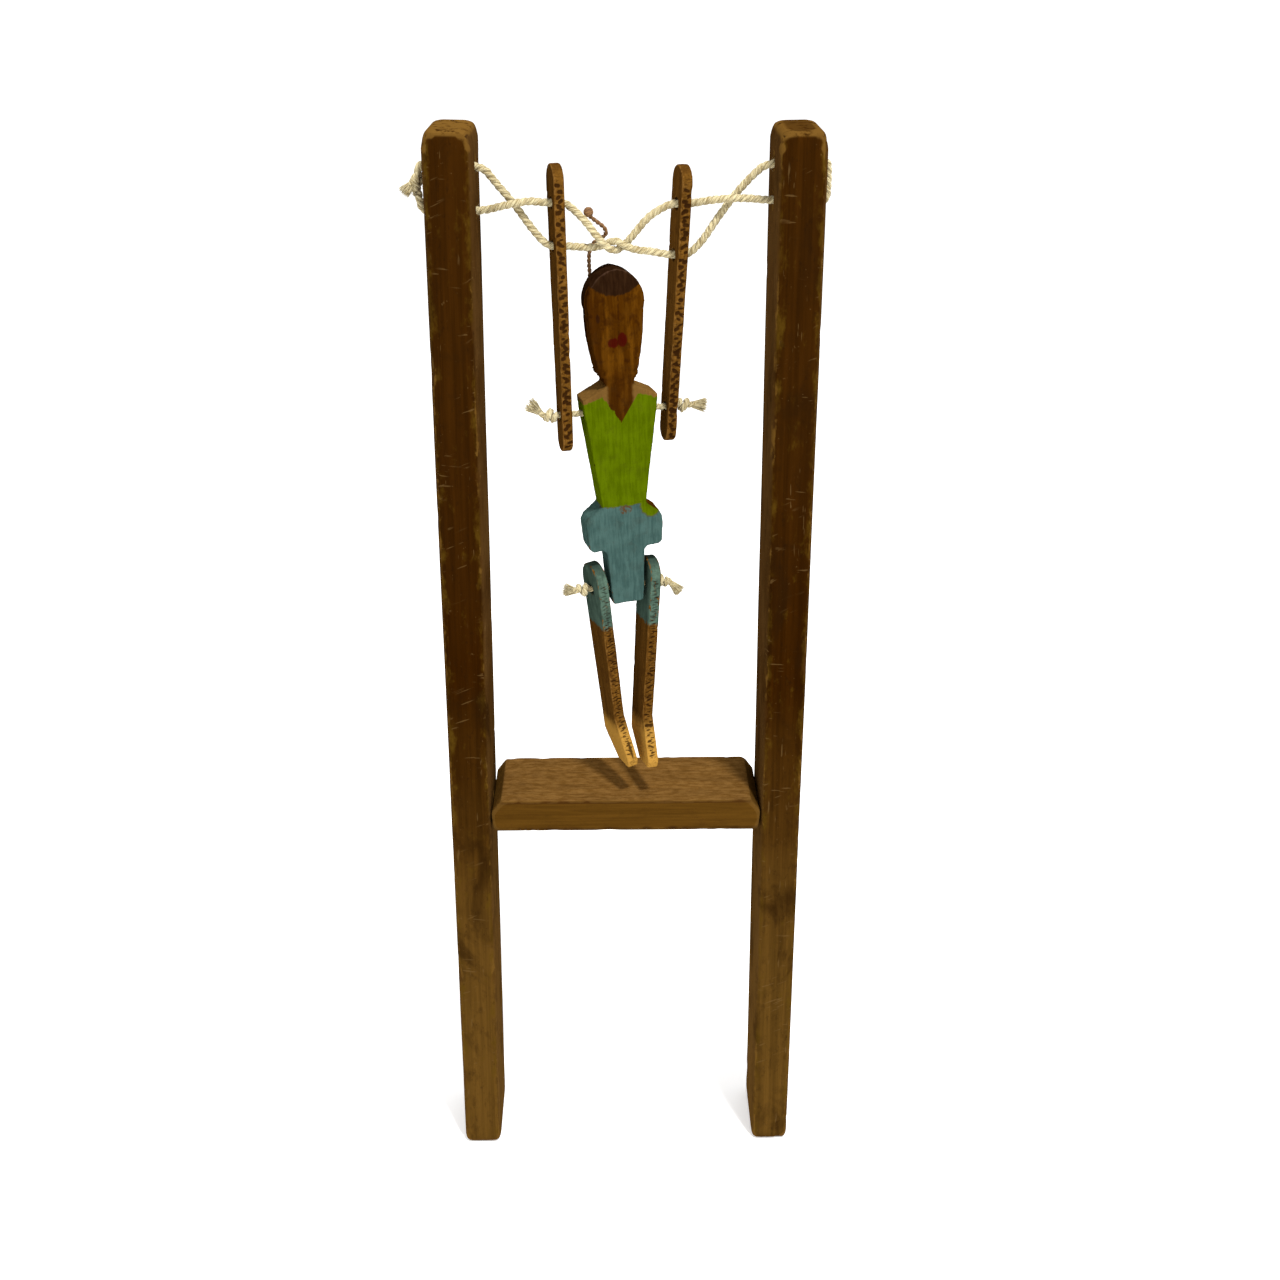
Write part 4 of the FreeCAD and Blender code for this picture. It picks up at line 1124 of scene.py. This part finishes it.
cotton = {
    "radius": 0.92 * mm, "strands": 3, "lay": 4.9 * mm, "strandShare": 0.54, "sides": 12,
    "step": 0.28 * mm,
    "pinRadius": 0.80 * mm,
    "light": (208, 196, 156), "shade": (132, 112, 68), "soil": 0.40,
    "fuzzPerMm": 5.0, "fuzzRadius": 0.022 * mm, "fuzzLength": (0.5 * mm, 1.3 * mm),
}
cordRoutes = {                     # metres; each string runs from upright to upright through both arms
    "upperLeftToUpperRight": [
        (-0.04165, 0, 0.2915), (-0.03265, 0, 0.2915), (-0.0296, 0.0007, 0.2874),
        (-0.0254, 0.00125, 0.2824),
        (-0.0214, 0.0006, 0.2768), (-0.0180, -0.00037, 0.27322), (-0.0156, -0.00037, 0.27322),
        (-0.0132, -0.00037, 0.27322), (-0.0094, 0.0005, 0.2727), (-0.0067, 0.0010, 0.2726),
        (-0.0045, 0.00125, 0.2733),
        (-0.0022, 0, 0.2745), (0, -0.00125, 0.2733), (0.0026, -0.0009, 0.2724),
        (0.0062, -0.0004, 0.2720),
        (0.01003, 0.00054, 0.27103), (0.01243, 0.00054, 0.27103), (0.01483, 0.00054, 0.27103),
        (0.0180, 0.0004, 0.2742), (0.0214, 0.0008, 0.2794), (0.0252, 0.00125, 0.2844),
        (0.0290, 0.0007, 0.2888),
        (0.03264, 0, 0.2920), (0.04164, 0, 0.2920)],
    "lowerLeftToLowerRight": [
        (-0.04165, 0, 0.2810), (-0.03285, 0, 0.2810), (-0.0294, -0.0007, 0.2819),
        (-0.0256, -0.00125, 0.2829),
        (-0.0216, -0.0006, 0.2834), (-0.0182, 0.00037, 0.28279), (-0.0158, 0.00037, 0.28279),
        (-0.0134, 0.00037, 0.28279), (-0.0094, -0.0004, 0.2792), (-0.0066, -0.0010, 0.2757),
        (-0.0045, -0.00125, 0.2732),
        (-0.0022, 0, 0.2719), (0, 0.00125, 0.2732), (0.0022, 0.0010, 0.2757), (0.0056, 0.0004, 0.2800),
        (0.01049, -0.00037, 0.28278), (0.01289, -0.00037, 0.28278), (0.01529, -0.00037, 0.28278),
        (0.0196, -0.0007, 0.2836), (0.0244, -0.00125, 0.2841), (0.0288, -0.0007, 0.2840),
        (0.03281, 0, 0.2834), (0.04164, 0, 0.2834)],
}
cutsAtArms = {"upperLeftToUpperRight": (-0.0156, 0.01243), "lowerLeftToLowerRight": (-0.0158, 0.01289)}


def smoothRoute(points, finer=24):
    # reads the points of a smooth NURBS line whose control points are given
    curve = bpy.data.curves.new("route", "CURVE")
    curve.dimensions = "3D"
    spline = curve.splines.new("NURBS")
    spline.points.add(len(points) - 1)
    for point, place_ in zip(spline.points, points):
        point.co = (*place_, 1)
    spline.order_u = 3
    spline.use_endpoint_u = True
    spline.resolution_u = finer
    holder = bpy.data.objects.new("route", curve)
    bpy.context.scene.collection.objects.link(holder)
    bpy.context.view_layer.update()
    mesh = bpy.data.meshes.new_from_object(holder)
    line = readPoints(mesh)
    bpy.data.objects.remove(holder)
    bpy.data.curves.remove(curve)
    bpy.data.meshes.remove(mesh)
    return line


def evenly(line, step):
    # points at an even spacing along a line, and their distances
    gaps = np.linalg.norm(np.diff(line, axis=0), axis=1)
    far = np.concatenate([[0], np.cumsum(gaps)])
    count = max(4, int(round(far[-1] / step)))
    distance = np.linspace(0, far[-1], count + 1)
    return np.stack([np.interp(distance, far, line[:, axis]) for axis in range(3)], axis=1), distance


def carriedFrames(line):
    # two directions square to the line at every point, carried along without twist
    tangents = np.gradient(line, axis=0)
    tangents /= np.linalg.norm(tangents, axis=1)[:, None]
    normal = np.cross(tangents[0], (0.13, 0.2, 0.97) if abs(tangents[0][2]) < 0.9 else (1, 0, 0))
    normal /= np.linalg.norm(normal)
    normals = [normal]
    for tangent in tangents[1:]:
        normal = normal - tangent * (normal @ tangent)
        normal = normal / np.linalg.norm(normal)
        normals.append(normal)
    normals = np.array(normals)
    return tangents, normals, np.cross(tangents, normals)


class Bundle:
    # gathers tubes into one mesh, each with its own straight coordinates for the fibres
    def __init__(self):
        self.points, self.faces, self.places, self.count = [], [], [], 0

    def tube(self, line, radii, sides, start=0.0, offset=(0, 0), twist=0.0):
        _, normals, others = carriedFrames(line)
        gaps = np.linalg.norm(np.diff(line, axis=0), axis=1)
        distance = start + np.concatenate([[0], np.cumsum(gaps)])
        angles = 2 * np.pi * np.arange(sides) / sides
        rings = (line[:, None, :] + radii[:, None,
                                          None] * (normals[:, None, :] * np.cos(angles)[None, :, None]
                 + others[:, None, :] * np.sin(angles)[None, :, None]))
        turned = angles[None, :] + twist * distance[:, None]
        flat = np.stack([radii[:, None] * np.cos(turned) + offset[0],
                         radii[:, None] * np.sin(turned) + offset[1],
                         np.repeat(distance[:, None], sides, axis=1)], axis=2)
        first = self.count
        count = len(line)
        self.points.append(rings.reshape(-1, 3))
        self.places.append(flat.reshape(-1, 3))
        for ring in range(count - 1):
            for k in range(sides):
                a = first + ring * sides + k
                b = first + ring * sides + (k + 1) % sides
                self.faces.append((a, b, b + sides, a + sides))
        self.faces.append(tuple(first + k for k in reversed(range(sides))))
        self.faces.append(tuple(first + (count - 1) * sides + k for k in range(sides)))
        self.count += count * sides

    def build(self, name, material):
        mesh = bpy.data.meshes.new(name)
        mesh.from_pydata(np.concatenate(self.points).tolist(), [], self.faces)
        mesh.update()
        keep(mesh, "fibrePlace", np.concatenate(self.places), vector=True)
        return addObject(name, mesh, material)


def twisted(bundle, line, distance, radius, flare=None, lay=None):
    # strands laid round the line; flare widens the lay towards a frayed end
    tangents, normals, others = carriedFrames(line)
    strands = cotton["strands"]
    lay = lay or cotton["lay"]
    strandRadius = radius * cotton["strandShare"]
    reach = (radius - strandRadius) * (np.ones(len(line)) if flare is None else flare)
    for k in range(strands):
        wobble = np.array([noise.noise(Vector((d * 420, k * 7.3, 1.7))) for d in distance])
        angle = -2 * np.pi * (distance / lay + k / strands) + 0.22 * wobble
        centre = line + reach[:,
                              None] * (normals * np.cos(angle)[:, None]
                                       + others * np.sin(angle)[:, None])
        swell = np.array([noise.noise(Vector((d * 900, k * 3.1, 9.2))) for d in distance])
        bundle.tube(centre, strandRadius * (1 + 0.10 * swell), cotton["sides"], distance[0],
                    (k * 0.013, k * 0.007), 1500.0)
    return tangents, normals, others


def fuzz(bundle, line, radius, rng, perMm):
    # loose fibres that stand off the cord
    length = np.linalg.norm(np.diff(line, axis=0), axis=1).sum()
    for _ in range(int(length / mm * perMm)):
        at = rng.randrange(1, len(line) - 2)
        along = Vector(line[at + 1] - line[at - 1]).normalized()
        out = Vector((rng.gauss(0, 1), rng.gauss(0, 1), rng.gauss(0, 1)))
        out = (out - along * out.dot(along)).normalized()
        reach = rng.uniform(*cotton["fuzzLength"])
        start = Vector(line[at]) + out * radius * 0.75
        drift = (along * rng.uniform(-1, 1) + out * rng.uniform(0.15, 0.7)).normalized()
        bend = along.cross(out) * rng.uniform(-0.5, 0.5)
        path = [start + drift * (reach * t) + bend * (reach * t * t)
                + out * (0.12 * mm * math.sin(t * 3)) for t in
                (0, 0.25, 0.5, 0.75, 1)]
        radii = cotton["fuzzRadius"] * np.array([1.2, 1, 0.9, 0.7, 0.3])
        bundle.tube(np.array(path), radii, 3, rng.random())


def tuft(bundle, start, direction, length, spread, count, rng, flat=1.0, core=0.5):
    # a frayed cord end: many fine fibres that open like a brush
    axis = Vector(direction).normalized()
    side = axis.orthogonal().normalized()
    other = axis.cross(side)
    for k in range(count):
        angle = rng.uniform(0, 2 * math.pi)
        share = math.sqrt(rng.random())
        foot = (side * math.cos(angle) + other * math.sin(angle) * flat) * (share * core * mm)
        tip = (side * math.cos(angle) + other * math.sin(angle) * flat) * (share * spread * mm)
        reach = length * mm * rng.uniform(0.78, 1.08)
        curl = Vector((rng.gauss(0, 1), rng.gauss(0, 1), rng.gauss(0, 1))) * (0.10 * mm)
        path = []
        for t in (0, 0.2, 0.4, 0.6, 0.8, 1):
            path.append(Vector(start) + axis * (reach * t) + foot.lerp(tip, t ** 1.2)
                        + curl * math.sin(t * 5 + k) * t)
        thick = rng.uniform(0.050, 0.085) * mm
        bundle.tube(np.array(path), thick * np.array([1, 1, 0.95, 0.9, 0.8, 0.5]), 5, rng.random(),
                    (share, angle), 0.0)


def cordMaterial():
    name = "cottonCord"
    if name in bpy.data.materials:
        return bpy.data.materials[name]
    material, tree, shader = startMaterial(name)
    own = stored(tree, "fibrePlace", vector=True)
    fibres = place(tree, effects["fibres"], Place=own, Light=tone(*cotton["light"]),
                   Shade=tone(*cotton["shade"]),
                   Soil=cotton["soil"])
    feed(tree, shader.inputs["Base Color"], fibres["Color"])
    feed(tree, shader.inputs["Roughness"],
         remap(tree, noiseAt(tree, own, 900.0, 2.0), 0.3, 0.7, 0.78, 0.95))
    shader.inputs["Specular IOR Level"].default_value = 0.15
    shader.inputs["Sheen Weight"].default_value = 0.25
    shader.inputs["Sheen Roughness"].default_value = 0.5
    feed(tree, shader.inputs["Normal"], raised(tree, fibres["Height"], 0.6, 0.00010))
    return material


def makeTrapezeCords():
    print("trapeze cords")
    rng = random.Random(101)
    bundles = {"left": Bundle(), "middle": Bundle(), "right": Bundle()}
    for name, route in cordRoutes.items():
        line, distance = evenly(smoothRoute(route), cotton["step"])
        cuts = [0] + [int(np.argmax(line[:, 0] > x)) for x in cutsAtArms[name]] + [len(line) - 1]
        _, normals, others = carriedFrames(line)
        strandRadius = cotton["radius"] * cotton["strandShare"]
        reach = cotton["radius"] - strandRadius
        for k in range(cotton["strands"]):
            wobble = np.array([noise.noise(Vector((d * 420, k * 7.3, len(name)))) for d in distance])
            angle = -2 * np.pi * (distance / cotton["lay"] + k / cotton["strands"]) + 0.22 * wobble
            centre = line + reach * (normals * np.cos(angle)[:, None] + others * np.sin(angle)[:, None])
            swell = np.array([noise.noise(Vector((d * 900, k * 3.1, 9.2))) for d in distance])
            radii = strandRadius * (1 + 0.10 * swell)
            for part, (first, last) in zip(bundles, zip(cuts, cuts[1:])):
                bundles[part].tube(centre[first:last + 1], radii[first:last + 1], cotton["sides"],
                                   distance[first],
                                   (k * 0.013, k * 0.007), 1500.0)
        for part, (first, last) in zip(bundles, zip(cuts, cuts[1:])):
            fuzz(bundles[part], line[first:last + 1], cotton["radius"], rng, cotton["fuzzPerMm"])
    swing = toy["swing"] * mm
    pieces = {part: bundles[part].build("trapezeCord" + part.capitalize(), cordMaterial())
              for part in bundles}
    for part in pieces:
        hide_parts("cord_" + part + "_span")
    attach(pieces["middle"], "arms")
    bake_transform(pieces["left"], "frame", "arms", start=(-0.0335, 0, swing), end=(-0.0175, 0, swing))
    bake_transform(pieces["right"], "frame", "arms", start=(0.0335, 0, swing), end=(0.0145, 0, swing))


knots = {
    # along the cord outwards and two ways across it, mm from the wood
    "turns": [(-1.2, 0, 0), (0.2, 0.0, 0.1), (0.9, 1.0, 0.6), (1.3, 0.8, -1.0), (1.5, -0.9, -1.1),
              (1.4, -1.2, 0.6),
              (2.0, 0.1, 1.4), (2.8, 1.1, 0.4), (2.9, 0.5, -0.8), (3.1, -0.2, -0.2)],
    "tails": {
        "leftShoulder": {"tail": (-0.75, -0.25, 0.72), "length": 2.2, "brush": 3.2, "spread": 1.8},
        "rightShoulder": {"tail": (0.97, -0.1, 0.02), "length": 1.4, "brush": 3.4, "spread": 1.8},
        "leftHip": {"tail": (-0.9, -0.3, 0.25), "length": 0.9, "brush": 3.0, "spread": 1.8},
        "rightHip": {"tail": (0.72, -0.3, -0.62), "length": 2.1, "brush": 3.0, "spread": 1.6},
    },
}


def knotRoute(seat, out, roll, scale=1.0):
    side = Vector((0, 0, 1))
    side = (side - out * side.dot(out)).normalized()
    other = out.cross(side)
    turned = []
    for along, u, v in knots["turns"]:
        c, s = math.cos(roll), math.sin(roll)
        turned.append(seat + (out * along + side * (u * c - v * s)
                              + other * (u * s + v * c)) * (mm * scale))
    return turned


def pinCord(name, node, body, middle, leftReach, rightReach, tails, seed):
    print(name)
    rng = random.Random(seed)
    bundle = Bundle()
    leftSeat = middle - across * leftReach
    rightSeat = middle + across * rightReach
    ends = []
    for seat, out, tail, roll in ((leftSeat, -across, knots["tails"][tails[0]], 0.4 + seed),
                                  (rightSeat, across, knots["tails"][tails[1]], 2.2 + seed)):
        route = knotRoute(seat, out, roll)
        way = Vector(tail["tail"]).normalized()
        last = route[-1]
        route += [last + way * (0.8 * mm), last + way * ((0.8 + tail["length"]) * mm)]
        ends.append((route, way, tail))
    whole = list(reversed(ends[0][0])) + ends[1][0]
    line, distance = evenly(smoothRoute(whole), cotton["step"] * 0.8)
    frayed = 1.4 * mm
    flare = 1 + 0.9 * (np.clip(1 - distance / frayed, 0, 1) ** 1.5
                       + np.clip(1 - (distance[-1] - distance) / frayed, 0, 1) ** 1.5)
    twisted(bundle, line, distance, cotton["pinRadius"], flare, lay=4.6 * mm)
    fuzz(bundle, line, cotton["pinRadius"], rng, cotton["fuzzPerMm"] * 1.2)
    for route, way, tail in ends:
        start = route[-1] - way * (0.9 * mm)
        tuft(bundle, start, way, tail["brush"], tail["spread"], 210, rng, core=0.85)
    obj = bundle.build(name, cordMaterial())
    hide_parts(node)
    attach(obj, body)


def makePinCords():
    shoulders = Vector(toy["shoulders"]) * mm
    hips = Vector(toy["hips"]) * mm
    pinCord("shoulderCord", "shoulder_cord", "arms", shoulders, 14.9 * mm, 14.9 * mm,
            ("leftShoulder", "rightShoulder"), 111)
    pinCord("hipCord", "hip_cord", "torso", hips, 9.4 * mm, 8.4 * mm, ("leftHip", "rightHip"), 113)


endKnot = {
    "upper": [(-0.04195, 0, 0.2915), (-0.0445, 0, 0.2915), (-0.0462, -0.0002, 0.2913),
              (-0.0469, -0.0006, 0.2899)],
    "lower": [(-0.04195, 0, 0.2810), (-0.0446, 0, 0.2810), (-0.0463, -0.0001, 0.2813),
              (-0.0468, -0.0003, 0.2835),
              (-0.0470, -0.0004, 0.2855)],
    "turns": [(0.9, 1.1, 0.3), (0.2, 0.6, -1.2), (-0.6, -0.7, -1.1), (-0.2, -1.3, 0.4),
              (0.6, -0.2, 1.3), (0.2, 1.1, 0.9),
              (-0.8, 0.9, -0.4)],
    "centre": (-47.25, -0.4, 288.0),
}


def makeEndKnot():
    print("end knot")
    rng = random.Random(121)
    bundle = Bundle()
    centre = Vector(endKnot["centre"]) * mm
    turns = [centre + Vector(t) * mm for t in endKnot["turns"]]
    broad, thin = Vector((-0.62, -0.52, -0.58)).normalized(), Vector((-0.1, -0.45, -0.9)).normalized()
    upper = [Vector(p) for p in endKnot["upper"]] + turns[:4] + [centre + broad * (1.2 * mm),
            centre + broad * (2.2 * mm)]
    lower = [Vector(p) for p in endKnot["lower"]] + turns[3:] + [centre + thin * (1.4 * mm),
            centre + thin * (2.6 * mm)]
    for route in (upper, lower):
        line, distance = evenly(smoothRoute(route), cotton["step"] * 0.8)
        twisted(bundle, line, distance, cotton["radius"], lay=4.8 * mm)
        fuzz(bundle, line, cotton["radius"], rng, cotton["fuzzPerMm"])
    tuft(bundle, centre + broad * (1.0 * mm), broad, 3.4, 1.5, 230, rng, flat=0.7, core=0.8)
    tuft(bundle, centre + thin * (2.0 * mm), thin, 1.7, 0.5, 50, rng, core=0.35)
    obj = bundle.build("cordEndKnot", cordMaterial())
    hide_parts("cord_end_knot")
    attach(obj, "left_upright")


def makeOuterLoop():
    print("outer loop")
    rng = random.Random(131)
    bundle = Bundle()
    route = [(0.04194, 0, 0.2920), (0.0440, 0, 0.2920), (0.04605, 0, 0.2920), (0.04625, 0, 0.2892),
             (0.04628, 0, 0.2862),
             (0.0462, 0, 0.2834), (0.0440, 0, 0.2834), (0.04194, 0, 0.2834)]
    line, distance = evenly(smoothRoute(route), cotton["step"])
    twisted(bundle, line, distance, cotton["radius"])
    fuzz(bundle, line, cotton["radius"], rng, cotton["fuzzPerMm"])
    obj = bundle.build("cordOuterLoop", cordMaterial())
    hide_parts("cord_outer_loop")
    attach(obj, "right_upright")


hairTail = {
    "route": [(-0.0082, 0.0033, 0.2628), (-0.0083, 0.0031, 0.2660), (-0.0085, 0.0028, 0.2692),
              (-0.0083, 0.0028, 0.2718),
              (-0.0070, 0.0030, 0.2737), (-0.0049, 0.0030, 0.2746), (-0.0042, 0.0026, 0.2758),
              (-0.0050, 0.0019, 0.2772),
              (-0.0066, 0.0014, 0.2784), (-0.0080, 0.0010, 0.2796)],
    "radius": 0.52 * mm,
    "bead": (-8.4, 1.0, 280.6), "beadRadius": 1.2 * mm,
    "light": (140, 104, 66), "shade": (88, 60, 38),
}


def makeHairTail():
    print("hair tail")
    rng = random.Random(141)
    bundle = Bundle()
    line, distance = evenly(smoothRoute(hairTail["route"]), 0.2 * mm)
    _, normals, others = carriedFrames(line)
    for k in range(2):
        angle = 2 * np.pi * (distance / (2.3 * mm) + k / 2)
        centre = line + 0.24 * mm * (normals * np.cos(angle)[:, None] + others * np.sin(angle)[:, None])
        bundle.tube(centre, np.full(len(line), 0.29 * mm), 8, 0.0, (k * 0.01, 0), 2500.0)
    # the end is wound into a small ball
    middle = Vector(hairTail["bead"]) * mm
    turns = 7
    wound = []
    for k in range(turns * 16 + 1):
        t = k / (turns * 16)
        polar = math.pi * (0.08 + 0.84 * t)
        angle = 2 * math.pi * turns * t
        reach = hairTail["beadRadius"] - 0.28 * mm
        wound.append(middle + Vector((math.sin(polar) * math.cos(angle),
                                      math.sin(polar) * math.sin(angle),
                                      -math.cos(polar))) * reach)
    bundle.tube(np.array(wound), np.full(len(wound), 0.27 * mm), 8, 0.05, (0.02, 0.01), 1800.0)
    core = []
    for k in range(7):
        core.append(middle + Vector((0, 0, (k / 6 - 0.5) * 1.7 * mm)))
    radii = np.array([0.2, 0.65, 0.85, 0.9, 0.85, 0.65, 0.2]) * mm
    bundle.tube(np.array(core), radii, 12, 0.1)
    fuzz(bundle, line, hairTail["radius"], rng, 3.0)
    material, tree, shader = startMaterial("brownThread")
    own = stored(tree, "fibrePlace", vector=True)
    fibres = place(tree, effects["fibres"], Place=own, Light=tone(*hairTail["light"]),
                   Shade=tone(*hairTail["shade"]),
                   Soil=0.3)
    feed(tree, shader.inputs["Base Color"], fibres["Color"])
    feed(tree, shader.inputs["Roughness"], remap(tree, fibres["Height"], 0.3, 0.7, 0.7, 0.9))
    shader.inputs["Specular IOR Level"].default_value = 0.2
    feed(tree, shader.inputs["Normal"], raised(tree, fibres["Height"], 0.6, 0.0001))
    obj = bundle.build("hairTail", material)
    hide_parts("hair_tail")
    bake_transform(obj, "torso", "arms", start=(-0.0083, 0.003, 0.2680), end=(-0.0083, 0.003, 0.2740))


makeCamera()
makeStudio()
makeEffects()
makeTrapezeCords()
makePinCords()
makeEndKnot()
makeOuterLoop()
makeHairTail()
for side in ("left", "right"):
    upright(side)
makeCrossbar()
makeNails()
makeLimbs()
makeFigure()
